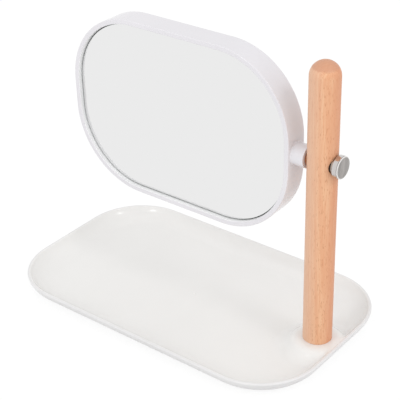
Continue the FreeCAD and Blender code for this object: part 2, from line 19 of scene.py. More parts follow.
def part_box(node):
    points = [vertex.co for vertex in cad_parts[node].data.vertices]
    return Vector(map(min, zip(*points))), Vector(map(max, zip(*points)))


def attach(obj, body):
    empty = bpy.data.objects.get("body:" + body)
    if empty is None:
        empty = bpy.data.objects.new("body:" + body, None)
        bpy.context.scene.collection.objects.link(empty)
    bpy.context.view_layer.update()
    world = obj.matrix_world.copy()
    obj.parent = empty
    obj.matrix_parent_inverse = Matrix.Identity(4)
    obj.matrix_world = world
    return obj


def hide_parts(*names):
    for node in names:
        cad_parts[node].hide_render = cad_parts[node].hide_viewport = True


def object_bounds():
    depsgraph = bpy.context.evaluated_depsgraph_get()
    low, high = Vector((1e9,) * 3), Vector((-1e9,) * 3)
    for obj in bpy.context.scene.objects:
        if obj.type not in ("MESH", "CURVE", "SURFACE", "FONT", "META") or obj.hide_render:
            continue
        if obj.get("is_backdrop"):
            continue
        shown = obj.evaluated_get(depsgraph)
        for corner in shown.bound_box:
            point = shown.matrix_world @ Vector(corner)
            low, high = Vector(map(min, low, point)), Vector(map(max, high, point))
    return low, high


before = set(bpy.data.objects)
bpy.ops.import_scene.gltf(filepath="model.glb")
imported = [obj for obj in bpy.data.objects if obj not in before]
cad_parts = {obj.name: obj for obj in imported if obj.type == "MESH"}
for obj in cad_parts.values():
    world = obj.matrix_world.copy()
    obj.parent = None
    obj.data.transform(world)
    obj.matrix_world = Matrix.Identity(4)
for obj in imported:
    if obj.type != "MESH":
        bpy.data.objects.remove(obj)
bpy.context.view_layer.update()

# %% [markdown]
# ## The camera
# The camera looks down at the object from the front right. It is placed by a point to look at, the
# direction to stand in, how far away, and a small roll. A lens of about 105 mm keeps the tray's far side
# almost as large as its near side. A direction is an azimuth, which is measured from the front, -Y,
# towards the right, +X, and an angle above the floor.

# %% Place the camera
MM = 0.001
LOOK_AT = Vector((7.3, 0.0, 85.7)) * MM
CAMERA_AZIMUTH = 38.95
CAMERA_ABOVE = 29.98
CAMERA_ROLL = math.radians(-1.65)
CAMERA_DISTANCE = 810.4 * MM
CAMERA_LENS = 104.9


def direction(azimuth, above):
    """The unit vector towards an azimuth and an angle above the floor, in degrees."""
    azimuth, above = math.radians(azimuth), math.radians(above)
    return Vector((math.sin(azimuth) * math.cos(above), -math.cos(azimuth) * math.cos(above),
                   math.sin(above)))


def aim(thing, place, target, roll=0.0):
    """Put an object at a place with its own -Z axis towards a target."""
    back = (place - target).normalized()
    across = Vector((0, 0, 1)).cross(back).normalized()
    turn = Matrix((across, back.cross(across), back)).transposed().to_4x4()
    thing.matrix_world = Matrix.Translation(place) @ turn @ Matrix.Rotation(roll, 4, "Z")


camera = bpy.data.objects.new("camera", bpy.data.cameras.new("camera"))
bpy.context.scene.collection.objects.link(camera)
camera.data.lens = CAMERA_LENS
aim(camera, LOOK_AT + CAMERA_DISTANCE * direction(CAMERA_AZIMUTH, CAMERA_ABOVE), LOOK_AT, CAMERA_ROLL)
bpy.context.scene.camera = camera
print("The camera stands at", [round(x, 3) for x in camera.location])

# %% [markdown]
# ## Colours and nodes
# Colours are written as hex values, as a screen shows them (sRGB). Blender's shaders work in linear
# light, so one function turns them. A second small function adds a shader node, sets what it is told
# and makes its links, which keeps each material short enough to read as a recipe.

# %% Helpers for colours and nodes
def colour(hex_code):
    """Turn an sRGB hex code into the linear colour that shaders use."""
    channels = [int(hex_code[i:i + 2], 16) / 255 for i in (1, 3, 5)]
    linear = [c / 12.92 if c <= 0.04045 else ((c + 0.055) / 1.055) ** 2.4 for c in channels]
    return (*linear, 1.0)


def add_node(tree, kind, inputs=None, **settings):
    """Add a node, set its properties, and give each input a value or a link from another node.

    An input goes by its name, or by its number where a node has several of one name. A node that is
    given as a link stands for the first output that it has in use."""
    node = tree.nodes.new(kind)
    for name, setting in settings.items():
        setattr(node, name, setting)
    for name, content in (inputs or {}).items():
        if isinstance(content, bpy.types.Node):
            content = next(output for output in content.outputs if output.enabled)
        if isinstance(content, bpy.types.NodeSocket):
            tree.links.new(content, node.inputs[name])
        else:
            node.inputs[name].default_value = content
    return node


def cells_per_metre(width_in_mm):
    """The scale of a pattern whose cells are so many millimetres wide."""
    return 1000.0 / width_in_mm


def new_tree(block):
    """Switch a material or world to nodes and clear the nodes that it starts with."""
    block.use_nodes = True
    block.node_tree.nodes.clear()
    return block.node_tree


print("A grey of #808080 on a screen is", round(colour("#808080")[0], 3), "in linear light")

# %% [markdown]
# ## The world
# The object stands in a plain pale studio, white all round as a light tent is. The light that falls on
# the object stays at a plain level, so that a colour renders about as it is written. What the camera, a
# glossy surface or glass sees of the world is brought up to full white, and the Light Path node tells
# those rays from the others.

# %% Build the world
WORLD_LEVEL = 0.86
WHITE = "#FFFFFF"


def seen_rays(tree):
    """1 for rays from the camera, from a glossy surface or through glass, and 0 for light that spreads."""
    path = add_node(tree, "ShaderNodeLightPath")
    glossy = add_node(tree, "ShaderNodeMath", {
        0: path.outputs["Is Camera Ray"], 1: path.outputs["Is Glossy Ray"]}, operation="MAXIMUM")
    seen = add_node(tree, "ShaderNodeMath", {
        0: glossy, 1: path.outputs["Is Transmission Ray"]}, operation="MAXIMUM")
    return seen


def build_world():
    """A white light tent: one level for the light that it gives, and full white where it is seen."""
    world = bpy.data.worlds.new("light_tent")
    bpy.context.scene.world = world
    tree = new_tree(world)
    spread = add_node(tree, "ShaderNodeBackground", {"Color": colour(WHITE), "Strength": WORLD_LEVEL})
    white = add_node(tree, "ShaderNodeBackground", {"Color": colour(WHITE), "Strength": 1.0})
    mixed = add_node(tree, "ShaderNodeMixShader", {0: seen_rays(tree), 1: spread, 2: white})
    add_node(tree, "ShaderNodeOutputWorld", {"Surface": mixed})
    print("The world gives light at a level of", WORLD_LEVEL)


build_world()

# %% [markdown]
# ## The floor
# The floor is a wide sheet of pale paper. To the light it is plain paper, so it throws a soft glow up
# under the object. The camera sees a dim copy of that paper with an even glow added, which comes out
# white but for the object's shadow. A mirror sees it pure white, so that no horizon shows in the glass.
# From below the sheet is clear, so that the underside can be looked at.

# %% Lay the floor
FLOOR_SIDE = 6.0
FLOOR_DROP = 0.05 * MM
FLOOR_COLOUR = "#E6E6E6"
FLOOR_SHADOW_SHARE = 0.15
FLOOR_GLOW = 0.875


def floor_finish():
    """Pale paper that spreads light. The camera sees white with the shadow, a mirror only white."""
    material = bpy.data.materials.new("studio_paper")
    tree = new_tree(material)
    paper = add_node(tree, "ShaderNodeBsdfDiffuse", {"Color": colour(FLOOR_COLOUR)})
    dimmed = add_node(tree, "ShaderNodeBsdfDiffuse", {"Color": (*3 * [FLOOR_SHADOW_SHARE], 1)})
    glow = add_node(tree, "ShaderNodeEmission", {"Strength": FLOOR_GLOW})
    shadowed = add_node(tree, "ShaderNodeAddShader", {0: dimmed, 1: glow})
    white = add_node(tree, "ShaderNodeEmission", {"Strength": 1.0})
    by_camera = add_node(tree, "ShaderNodeLightPath").outputs["Is Camera Ray"]
    seen = add_node(tree, "ShaderNodeMixShader", {0: by_camera, 1: white, 2: shadowed})
    either = add_node(tree, "ShaderNodeMixShader", {0: seen_rays(tree), 1: paper, 2: seen})
    clear = add_node(tree, "ShaderNodeBsdfTransparent")
    side = add_node(tree, "ShaderNodeNewGeometry")
    one_sided = add_node(tree, "ShaderNodeMixShader", {
        0: side.outputs["Backfacing"], 1: either, 2: clear})
    add_node(tree, "ShaderNodeOutputMaterial", {"Surface": one_sided})
    return material


bpy.ops.mesh.primitive_plane_add(size=FLOOR_SIDE, location=(0, 0, -FLOOR_DROP))
floor = bpy.context.object
floor.name = "floor"
floor.data.materials.append(floor_finish())
floor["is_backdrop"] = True
print("The floor is", FLOOR_SIDE, "m wide")

# %% [markdown]
# ## The softboxes
# Two softboxes stand about 45 degrees to each side of the camera. A softbox is a wide sheet of cloth
# with a lamp behind its upper part. So each is made of two lamps: a wide one, which gives the soft light
# and which glossy surfaces don't see, and a small core above its middle, which they show as a glint.

# %% Hang the softboxes
# for each softbox its azimuth, its angle above the floor, and what it adds to the world's level
SOFTBOXES = {"front_softbox": (-3, 18, 0.13), "right_softbox": (84, 22, 0.13)}
SOFTBOX_DISTANCE = 1.4
SOFTBOX_SIDE = 1.1
CORE_ABOVE = 24
CORE_SIDE = 0.22
CORE_WATTS = 1.4


def area_lamp(name, azimuth, above, side, watts):
    """A square lamp that looks at the object from a direction."""
    lamp = bpy.data.objects.new(name, bpy.data.lights.new(name, "AREA"))
    bpy.context.scene.collection.objects.link(lamp)
    lamp.data.size = side
    lamp.data.energy = watts
    aim(lamp, LOOK_AT + SOFTBOX_DISTANCE * direction(azimuth, above), LOOK_AT)
    return lamp


for name, (azimuth, above, level) in SOFTBOXES.items():
    # the power that lights a face which looks at the lamp as much as a white dome of that level would
    watts = level * math.pi ** 2 * SOFTBOX_DISTANCE ** 2
    cloth = area_lamp(name, azimuth, above, SOFTBOX_SIDE, watts)
    cloth.visible_glossy = False
    area_lamp(name + "_core", azimuth, above + CORE_ABOVE, CORE_SIDE, CORE_WATTS)
    print(name, "has", round(watts, 1), "W")

# the Standard view shows a colour as it was written, without a film look
bpy.context.scene.view_settings.view_transform = "Standard"

# %% [markdown]
# ## Finish: glossy white ABS
# The tray and the frame are injection-moulded ABS from a polished mould. The eye sees a clean, very
# slightly warm white with soft reflections. It is never quite even: the melt leaves broad faint clouds
# where it flowed, the gloss varies a little with them, the surface has a shallow orange peel, and use
# leaves hairline scuffs. All of it is weak, because the real thing looks clean.

# %% White moulding
TRAY_WHITE = ("#EEEDEB", "#ECEBE9")
# the outside's whites are a little darker: painted shade
TRAY_OUTSIDE_PAINTED_SHADE = ("#E6E5E5", "#E3E2E2")
FRAME_WHITE = ("#E5E3E7", "#E1DFE3")
# the lip's whites are brighter: painted light for what the mirror throws on it
LIP_WHITE_PAINTED_LIGHT = ("#FAFAFB", "#F7F7F8")
FLOW_CLOUD_MM = 70.0
ORANGE_PEEL_MM = 1.6
SCUFF_MM = 0.35
SCUFF_TURN = (0.3, 0.2, 0.5)
SCUFF_LENGTH_FACTOR = 50
SCUFF_DULLING = 0.06
POLISHED_RELIEF = 0.003 * MM
SATIN_RELIEF = 0.006 * MM
SPARK_RELIEF = 0.025 * MM
PLASTIC_IOR = 1.5


def white_moulding(name, whites, peel_depth, roughest, glossiest):
    """Moulded ABS: its two whites, its relief in metres and the two ends of its roughness."""
    material = bpy.data.materials.new(name)
    tree = new_tree(material)
    place = add_node(tree, "ShaderNodeTexCoord").outputs["Object"]
    clouds = add_node(tree, "ShaderNodeTexNoise", {
        "Vector": place, "Scale": cells_per_metre(FLOW_CLOUD_MM), "Detail": 3.0, "Distortion": 0.6})
    tone = add_node(tree, "ShaderNodeMapRange", {"Value": clouds, 1: 0.35, 2: 0.65})
    body_colour = add_node(tree, "ShaderNodeMix", {
        0: tone, 6: colour(whites[0]), 7: colour(whites[1])}, data_type="RGBA")
    peel = add_node(tree, "ShaderNodeTexNoise", {
        "Vector": place, "Scale": cells_per_metre(ORANGE_PEEL_MM), "Detail": 1.0})
    # hairline scuffs: a noise drawn out along X and turned a little, of which only the peaks count
    along = add_node(tree, "ShaderNodeMapping", {
        "Vector": place, "Rotation": SCUFF_TURN, "Scale": (1 / SCUFF_LENGTH_FACTOR, 1, 1)})
    hairs = add_node(tree, "ShaderNodeTexNoise", {
        "Vector": along, "Scale": cells_per_metre(SCUFF_MM), "Detail": 2.0})
    scuffs = add_node(tree, "ShaderNodeMapRange", {"Value": hairs, 1: 0.66, 2: 0.80, 4: SCUFF_DULLING})
    gloss = add_node(tree, "ShaderNodeMapRange", {
        "Value": clouds, 1: 0.3, 2: 0.7, 3: glossiest, 4: roughest})
    roughness = add_node(tree, "ShaderNodeMath", {0: gloss, 1: scuffs}, operation="ADD")
    relief = add_node(tree, "ShaderNodeBump", {"Height": peel, "Strength": 1.0, "Distance": peel_depth})
    surface = add_node(tree, "ShaderNodeBsdfPrincipled", {
        "Base Color": body_colour, "Roughness": roughness, "Normal": relief, "IOR": PLASTIC_IOR})
    add_node(tree, "ShaderNodeOutputMaterial", {"Surface": surface})
    return material


# the dish comes from a polished mould, and glints at its curved wall
tray_abs = white_moulding("glossy_warm_white_abs", TRAY_WHITE, POLISHED_RELIEF, 0.15, 0.10)
# its outside comes from a blasted mould, which gives it an even satin sheen; its darker white is painted
# shade on the outer wall, the underside and the rim
satin_abs_painted_shade = white_moulding("satin_white_abs_painted_shade", TRAY_OUTSIDE_PAINTED_SHADE, SATIN_RELIEF, 0.42, 0.34)
# the frame is as glossy as the dish, in a slightly cooler white
frame_abs = white_moulding("glossy_white_abs", FRAME_WHITE, POLISHED_RELIEF, 0.16, 0.10)
# the step round the glass is painted brightest, as painted light for what the mirror throws on it
lip_abs = white_moulding("lip_abs_painted_mirror_light", LIP_WHITE_PAINTED_LIGHT, POLISHED_RELIEF, 0.30, 0.20)
# the back cover comes from a spark-eroded mould, whose fine pits take the shine away
matt_abs = white_moulding("spark_textured_white_abs", FRAME_WHITE, SPARK_RELIEF, 0.55, 0.45)
print("Five white mouldings, from polished to matt")

# %% [markdown]
# ## Finish: turned beech
# The post is a beech dowel, sanded fine and lacquered matt. Straight-grained beech shows three things
# at this distance: close, nearly straight lines along the post where growth rings reach the surface,
# short dark flecks, which are the rays cut end-on, and a slow drift of tone. On the dome the cutter
# meets end grain, which drinks more lacquer and is a shade darker. Each pattern is one noise, drawn out
# along Z by squeezing that axis.

# %% Beech
BEECH_LIGHT = "#E8B68F"
BEECH_DARK = "#DD9C74"
BEECH_FLECK = "#C08058"
BEECH_END = "#CB9274"
# painted shade and painted light for the post's two sides, as seen from the front right
BEECH_PAINTED_SHADE = "#D48A64"
BEECH_PAINTED_LIGHT = "#E3BDA3"
RING_MM = 2.1
RING_TURN = (0.012, 0.018, 0.6)
# the side of the post that gets the painted shade, to the right of the view
TOWARDS_PAINTED_SHADE = (0.78, 0.63, 0)
STREAK_MM = 0.55
FLECK_MM = 0.50
DRIFT_MM = 14.0
END_GRAIN_FROM = 0.53
END_GRAIN_BLUR = 1.4 * MM
END_GRAIN_RAGGED_MM = 1.2
GRAIN_RELIEF = 0.012 * MM
MATT_LACQUER = (0.40, 0.52)
LACQUER_IOR = 1.5


def beech(name, axis_x, dome_z, dome_radius):
    """Beech whose grain runs along Z and whose end grain shows near the top of a dome."""
    material = bpy.data.materials.new(name)
    tree = new_tree(material)
    place = add_node(tree, "ShaderNodeTexCoord").outputs["Object"]
    on_axis = add_node(tree, "ShaderNodeMapping", {"Vector": place, "Location": (-axis_x, 0, 0)})

    def drawn_out(width_mm, length_factor, detail, distortion=0.0):
        """A noise as wide as it says, and that many times as long."""
        squeezed = add_node(tree, "ShaderNodeMapping", {
            "Vector": on_axis, "Scale": (1, 1, 1 / length_factor)})
        noise = add_node(tree, "ShaderNodeTexNoise", {
            "Vector": squeezed, "Detail": detail, "Scale": cells_per_metre(width_mm),
            "Distortion": distortion})
        return noise

    def laid_over(below, hex_code, pattern, low, high, strongest):
        """Lay a colour over what is below, from none where the pattern is low to strongest where high."""
        share = add_node(tree, "ShaderNodeMapRange", {
            "Value": pattern, 1: low, 2: high, 4: strongest}, interpolation_type="SMOOTHSTEP")
        return add_node(tree, "ShaderNodeMix", {
            0: share, 6: below, 7: colour(hex_code)}, data_type="RGBA")

    leaning = add_node(tree, "ShaderNodeMapping", {"Vector": on_axis, "Rotation": RING_TURN})
    # at a scale of 1 a wave texture repeats every pi / 10 units
    rings = add_node(tree, "ShaderNodeTexWave", {
        "Vector": leaning, "Scale": cells_per_metre(RING_MM) * math.pi / 10,
        "Distortion": 1.6, "Detail": 2.0, "Detail Scale": 0.25}, bands_direction="X")
    streaks = drawn_out(STREAK_MM, 26, 3.0)
    flecks = drawn_out(FLECK_MM, 6.5, 1.0)
    drift = drawn_out(DRIFT_MM, 5, 2.0, 0.5)

    ringed = laid_over(colour(BEECH_LIGHT), BEECH_DARK, rings.outputs[1], 0.1, 0.9, 0.5)
    streaked = laid_over(ringed, BEECH_DARK, streaks, 0.42, 0.66, 0.75)
    drifted = laid_over(streaked, BEECH_LIGHT, drift, 0.35, 0.70, 0.45)
    flecked = laid_over(drifted, BEECH_FLECK, flecks, 0.60, 0.71, 0.70)
    # painted light and shade: the side of the dowel to the right of the view is painted redder as painted
    # shade, the side to the left paler as painted light
    across_to_shade = add_node(tree, "ShaderNodeVectorMath", {0: on_axis, 1: TOWARDS_PAINTED_SHADE}, operation="DOT_PRODUCT")
    painted_light_side = laid_over(flecked, BEECH_PAINTED_LIGHT, across_to_shade, 0, -dome_radius, 0.6)
    painted_shade_side = laid_over(painted_light_side, BEECH_PAINTED_SHADE, across_to_shade, 0, dome_radius, 0.6)
    # the end grain starts at a ragged line round the dome
    height = add_node(tree, "ShaderNodeSeparateXYZ", {0: place}).outputs[2]
    ragged = add_node(tree, "ShaderNodeMath", {
        0: drawn_out(END_GRAIN_RAGGED_MM, 1.0, 1.0), 1: MM, 2: height}, operation="MULTIPLY_ADD")
    end_from = dome_z + END_GRAIN_FROM * dome_radius
    finished = laid_over(painted_shade_side, BEECH_END, ragged, end_from, end_from + END_GRAIN_BLUR, 0.7)

    gloss = add_node(tree, "ShaderNodeMapRange", {
        "Value": streaks, 1: 0.3, 2: 0.7, 3: MATT_LACQUER[0], 4: MATT_LACQUER[1]},
        interpolation_type="SMOOTHSTEP")
    relief_height = add_node(tree, "ShaderNodeMath", {0: streaks, 1: flecks}, operation="SUBTRACT")
    relief = add_node(tree, "ShaderNodeBump", {"Height": relief_height, "Distance": GRAIN_RELIEF})
    surface = add_node(tree, "ShaderNodeBsdfPrincipled", {
        "Base Color": finished, "Roughness": gloss, "Normal": relief, "IOR": LACQUER_IOR})
    add_node(tree, "ShaderNodeOutputMaterial", {"Surface": surface})
    return material


post_low, post_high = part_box("post")
post_radius = (post_high.x - post_low.x) / 2
post_x = (post_high.x + post_low.x) / 2
dome_z = post_high.z - post_radius
lacquered_beech = beech("lacquered_beech", post_x, dome_z, post_radius)
print("The post is", round(2 * post_radius / MM, 1), "mm across")

# %% [markdown]
# ## Finish: silvered glass
# A mirror is float glass with silver behind it. It gives back about five sixths of the light, so it
# shows the white room as a pale grey. Here the silver is a metal with hardly any roughness, with a trace
# of wiping marks. The edge and the bevel, where the glass itself shows, are grey green, painted darker
# as painted shade for the narrow gap round the glass.

# %% Mirror glass
SILVER = "#EBEBEB"
# the glass's own grey green, darkened as painted shade of the gap round the glass
GLASS_EDGE_PAINTED_GAP_SHADE = "#7C8680"
GROUND_EDGE_GLOSS = 0.14
WIPE_MM = 9.0
WIPE_TURN = (0, 0.7, 0)
WIPE_LENGTH_FACTOR = 5
WIPED_GLOSS = (0.008, 0.03)
FACES_FRONT = 0.98


def silvered_glass(name):
    """Silver where the plate faces front or back, and bare glass on its edge and its bevel."""
    material = bpy.data.materials.new(name)
    tree = new_tree(material)
    coordinates = add_node(tree, "ShaderNodeTexCoord")
    facing = add_node(tree, "ShaderNodeSeparateXYZ", {0: coordinates.outputs["Normal"]})
    flatness = add_node(tree, "ShaderNodeMath", {0: facing.outputs[1]}, operation="ABSOLUTE")
    silvered = add_node(tree, "ShaderNodeMath", {0: flatness, 1: FACES_FRONT}, operation="GREATER_THAN")
    wiped = add_node(tree, "ShaderNodeMapping", {
        "Vector": coordinates.outputs["Object"], "Rotation": WIPE_TURN,
        "Scale": (1 / WIPE_LENGTH_FACTOR, 1, 1)})
    marks = add_node(tree, "ShaderNodeTexNoise", {
        "Vector": wiped, "Detail": 2.0, "Scale": cells_per_metre(WIPE_MM)})
    haze = add_node(tree, "ShaderNodeMapRange", {
        "Value": marks, 1: 0.4, 2: 0.8, 3: WIPED_GLOSS[0], 4: WIPED_GLOSS[1]})
    gloss = add_node(tree, "ShaderNodeMix", {0: silvered, 2: GROUND_EDGE_GLOSS, 3: haze})
    tint = add_node(tree, "ShaderNodeMix", {
        0: silvered, 6: colour(GLASS_EDGE_PAINTED_GAP_SHADE), 7: colour(SILVER)}, data_type="RGBA")
    surface = add_node(tree, "ShaderNodeBsdfPrincipled", {
        "Base Color": tint, "Metallic": silvered, "Roughness": gloss})
    add_node(tree, "ShaderNodeOutputMaterial", {"Surface": surface})
    return material


mirror_silver = silvered_glass("silvered_float_glass")
print("The glass is", mirror_silver.name)

# %% [markdown]
# ## Finish: chrome plate
# The knob is chrome over brass. Its side is polished, and its face was brushed up and down before it was
# plated, which spreads the reflection with upright lines; the face's grey is darker than chrome's own, a
# painted reflection of darker surroundings, and the bevel's brighter chrome is a painted highlight. Real
# brush lines are about a tenth of a millimetre wide, too fine to show from here, so they are drawn ten
# times as coarse. Where the surface faces along X, it is brushed, which the piece's own normal tells.

# %% Chrome with a brushed face
CHROME = "#CFCAC8"
# a brighter chrome for the bevel, painted highlight, and a darker grey for the face, painted reflection
BEVEL_PAINTED_HIGHLIGHT = "#EBE8E6"
BRUSHED_FACE_PAINTED_REFLECTION = "#A7A3A0"
BRUSHED_TONES = (0.80, 1.20)
BRUSH_LINE_MM = 1.1
BRUSH_LENGTH_FACTOR = 9
BRUSH_RELIEF = 0.006 * MM
BRUSHED_GLOSS = (0.26, 0.40)
POLISHED_GLOSS = 0.14


def chrome_plate(name):
    """Polished chrome, with upright brush lines where the surface faces along X."""
    material = bpy.data.materials.new(name)
    tree = new_tree(material)
    coordinates = add_node(tree, "ShaderNodeTexCoord")
    facing = add_node(tree, "ShaderNodeSeparateXYZ", {0: coordinates.outputs["Normal"]})
    face = add_node(tree, "ShaderNodeMapRange", {"Value": facing, 1: 0.95, 2: 0.99})
    stretched = add_node(tree, "ShaderNodeMapping", {
        "Vector": coordinates.outputs["Object"], "Scale": (1, 1, 1 / BRUSH_LENGTH_FACTOR)})
    lines = add_node(tree, "ShaderNodeTexNoise", {
        "Vector": stretched, "Detail": 3.0, "Scale": cells_per_metre(BRUSH_LINE_MM)})
    tone = add_node(tree, "ShaderNodeMapRange", {
        "Value": lines, 1: 0.35, 2: 0.65, 3: BRUSHED_TONES[0], 4: BRUSHED_TONES[1]})
    brushed = add_node(tree, "ShaderNodeVectorMath", {
        0: colour(BRUSHED_FACE_PAINTED_REFLECTION)[:3], "Scale": tone}, operation="SCALE")
    # the bevel and the edge of the crown get a brighter chrome, a painted highlight
    cut = add_node(tree, "ShaderNodeMapRange", {"Value": facing, 1: 0.45, 2: 0.6})
    polished = add_node(tree, "ShaderNodeMix", {
        0: cut, 6: colour(CHROME), 7: colour(BEVEL_PAINTED_HIGHLIGHT)}, data_type="RGBA")
    tint = add_node(tree, "ShaderNodeMix", {0: face, 6: polished, 7: brushed}, data_type="RGBA")
    face_gloss = add_node(tree, "ShaderNodeMapRange", {
        "Value": lines, 1: 0.3, 2: 0.7, 3: BRUSHED_GLOSS[0], 4: BRUSHED_GLOSS[1]})
    gloss = add_node(tree, "ShaderNodeMix", {0: face, 2: POLISHED_GLOSS, 3: face_gloss})
    depth = add_node(tree, "ShaderNodeMath", {0: lines, 1: face}, operation="MULTIPLY")
    relief = add_node(tree, "ShaderNodeBump", {"Height": depth, "Distance": BRUSH_RELIEF})
    surface = add_node(tree, "ShaderNodeBsdfPrincipled", {
        "Base Color": tint, "Metallic": 1.0, "Roughness": gloss, "Normal": relief})
    add_node(tree, "ShaderNodeOutputMaterial", {"Surface": surface})
    return material


brushed_chrome = chrome_plate("brushed_chrome_with_painted_highlight")
print("The knob is", brushed_chrome.name)

# %% [markdown]
# ## Finish: zinc, brass, fibre, rubber and foam
# The small pieces are plain metals and plastics, each with the grain of how it was made. One recipe does
# for all: a noise as wide as the grain, which changes the tone, the gloss and the relief a little. The
# real grains are finer than this, and are drawn as coarse as they have to be to show.

# %% Plain grained finishes
SECOND_COLOUR_BLUR = 0.4 * MM


def grained(name, light, dark, grain_mm, relief, roughness, metallic=0.0, second_colour_along_x=None):
    """One grain for a whole small piece: two tones, a range of roughness and a relief in metres.

    A piece can turn to a second colour from one place along X to another, as the knob's washer turns from
    painted shade to bright steel."""
    material = bpy.data.materials.new(name)
    tree = new_tree(material)
    place = add_node(tree, "ShaderNodeTexCoord").outputs["Object"]
    grain = add_node(tree, "ShaderNodeTexNoise", {
        "Vector": place, "Detail": 3.0, "Scale": cells_per_metre(grain_mm)})
    share = add_node(tree, "ShaderNodeMapRange", {"Value": grain, 1: 0.35, 2: 0.65})
    tint = add_node(tree, "ShaderNodeMix", {
        0: share, 6: colour(light), 7: colour(dark)}, data_type="RGBA")
    # a second colour along X; the knob's washer uses it for painted shade
    if second_colour_along_x:
        second_colour, second_colour_from, second_colour_to = second_colour_along_x
        along = add_node(tree, "ShaderNodeSeparateXYZ", {0: place})
        ragged = add_node(tree, "ShaderNodeMath", {
            0: grain, 1: SECOND_COLOUR_BLUR, 2: along}, operation="MULTIPLY_ADD")
        second_colour_share = add_node(tree, "ShaderNodeMapRange", {"Value": ragged, 1: second_colour_from, 2: second_colour_to})
        tint = add_node(tree, "ShaderNodeMix", {
            0: second_colour_share, 6: tint, 7: colour(second_colour)}, data_type="RGBA")
    gloss = add_node(tree, "ShaderNodeMapRange", {
        "Value": grain, 1: 0.3, 2: 0.7, 3: roughness[0], 4: roughness[1]})
    bump = add_node(tree, "ShaderNodeBump", {"Height": grain, "Distance": relief})
    surface = add_node(tree, "ShaderNodeBsdfPrincipled", {
        "Base Color": tint, "Metallic": metallic, "Roughness": gloss, "Normal": bump})
    add_node(tree, "ShaderNodeOutputMaterial", {"Surface": surface})
    return material


# bright zinc plate has a bloom of tiny crystals, which makes its shine a little cloudy
zinc_plate = grained("bright_zinc_plate", "#C6C8CC", "#ADB0B4", 0.6, 0.003 * MM, (0.24, 0.38), metallic=1.0)
# turned brass is yellow and bright, with the cutter's marks
turned_brass = grained("turned_brass", "#D8B874", "#C29F58", 0.5, 0.003 * MM, (0.22, 0.34), metallic=1.0)
# vulcanised fibre is pressed paper: brown, dull, with fibres a few tenths of a millimetre wide
pressed_fibre = grained("vulcanised_fibre", "#A5673F", "#8C5230", 0.4, 0.015 * MM, (0.6, 0.75))
# the pads are a soft grey rubber with a fine matt skin
pad_rubber = grained("grey_pad_rubber", "#C9C9C7", "#BDBDBA", 0.7, 0.02 * MM, (0.6, 0.72))
# the tapes are an off-white foam, dull and full of small cells
foam = grained("closed_cell_foam", "#E9E9E4", "#D6D6CF", 0.5, 0.06 * MM, (0.8, 0.95))
# the knob's washer is bright steel towards the knob, and painted brown-black towards the wood as painted
# shade of the narrow gap in its seat
WASHER_PAINTED_SHADE = "#33261F"
WASHER_BRIGHT_STEEL = "#B5A59A"
SHADE_FADES_FROM = 1.7 * MM
SHADE_FADES_TO = 0.9 * MM
washer_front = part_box("knob_washer")[1].x
washer_steel_painted_shade = grained("washer_steel_painted_gap_shade", WASHER_PAINTED_SHADE, WASHER_PAINTED_SHADE, 0.5, 0.003 * MM, (0.18, 0.30), metallic=1.0,
                          second_colour_along_x=(WASHER_BRIGHT_STEEL, washer_front - SHADE_FADES_FROM, washer_front - SHADE_FADES_TO))
print(len(bpy.data.materials), "materials so far")

# %% [markdown]
# ## How the pieces are modelled
# Almost every piece here is an outline carried along a profile: the tray is a rounded rectangle whose
# section curls up to a rim, the frame is one with a lip, the knob and the post are circles. So a piece
# starts as a flat face with the right outline. That face is then inset and moved, step after step, and
# each step leaves a ring of new faces behind it. Where the section has an arc, a loop works out its
# steps.

# %% Helpers for outlines and sections
NO_STEP = 1e-7


def round_corners(name, length, width, radius, segments, height):
    """A flat face with round corners: a plane, sized, with its corners bevelled."""
    bpy.ops.mesh.primitive_plane_add(size=1, location=(0, 0, height))
    piece = bpy.context.object
    piece.name = name
    piece.scale = (length, width, 1)
    bpy.ops.object.transform_apply(location=True, rotation=True, scale=True)
    bpy.ops.object.mode_set(mode="EDIT")
    bpy.ops.mesh.select_all(action="SELECT")
    bpy.ops.mesh.bevel(offset=radius, segments=segments, profile=0.5, affect="VERTICES")
    return piece


def arc(centre, radius, start, end, steps):
    """Points of an arc in a section, as (inward, height), between two angles in degrees."""
    angles = [math.radians(start + (end - start) * i / steps) for i in range(steps + 1)]
    return [(centre[0] + radius * math.cos(a), centre[1] + radius * math.sin(a)) for a in angles]


def all_faces():
    """Select every face of the piece that is being edited."""
    bpy.ops.mesh.select_mode(type="FACE")
    bpy.ops.mesh.select_all(action="SELECT")


def extrude_up(height):
    """Extrude the selected faces straight up, or down where the height is below nought."""
    bpy.ops.mesh.extrude_region_move(TRANSFORM_OT_translate={"value": (0, 0, height)})


def carry_inward(profile, outward=1):
    """Carry the selected flat face along a section: a step in is an inset, a step up an extrusion."""
    for (inward, height), (next_inward, next_height) in zip(profile, profile[1:]):
        step_in, step_up = next_inward - inward, next_height - height
        if step_in > NO_STEP:
            bpy.ops.mesh.inset(thickness=step_in, depth=step_up * outward, use_even_offset=True)
        elif abs(step_up) > NO_STEP:
            extrude_up(step_up)


print("Outlines can be carried along a section")

# %% [markdown]
# ## The tray
# The tray is one moulding: a flat floor, a wall that curls up all round to a slim rounded rim, and a
# soft boss that lifts the post's foot almost to the rim. Its section is four arcs that touch, with a
# narrow flat on top of the rim. The rim's outer round and the outside of the wall start at the widest
# line. The rim's inner round and the dish's wall lead down to the floor. The centres of the arcs are
# worked out from the radii, because two arcs that touch have their centres as far apart as their radii
# add up to, or differ.

# %% The tray's section
tray_low, tray_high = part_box("tray")
UNDERSIDE_RADIUS = 14.0 * MM
DISH_RADIUS = 16.0 * MM
DISH_DEPTH = 9.0 * MM
RIM_ROUND = 1.1 * MM
RIM_FLAT = 0.34 * MM

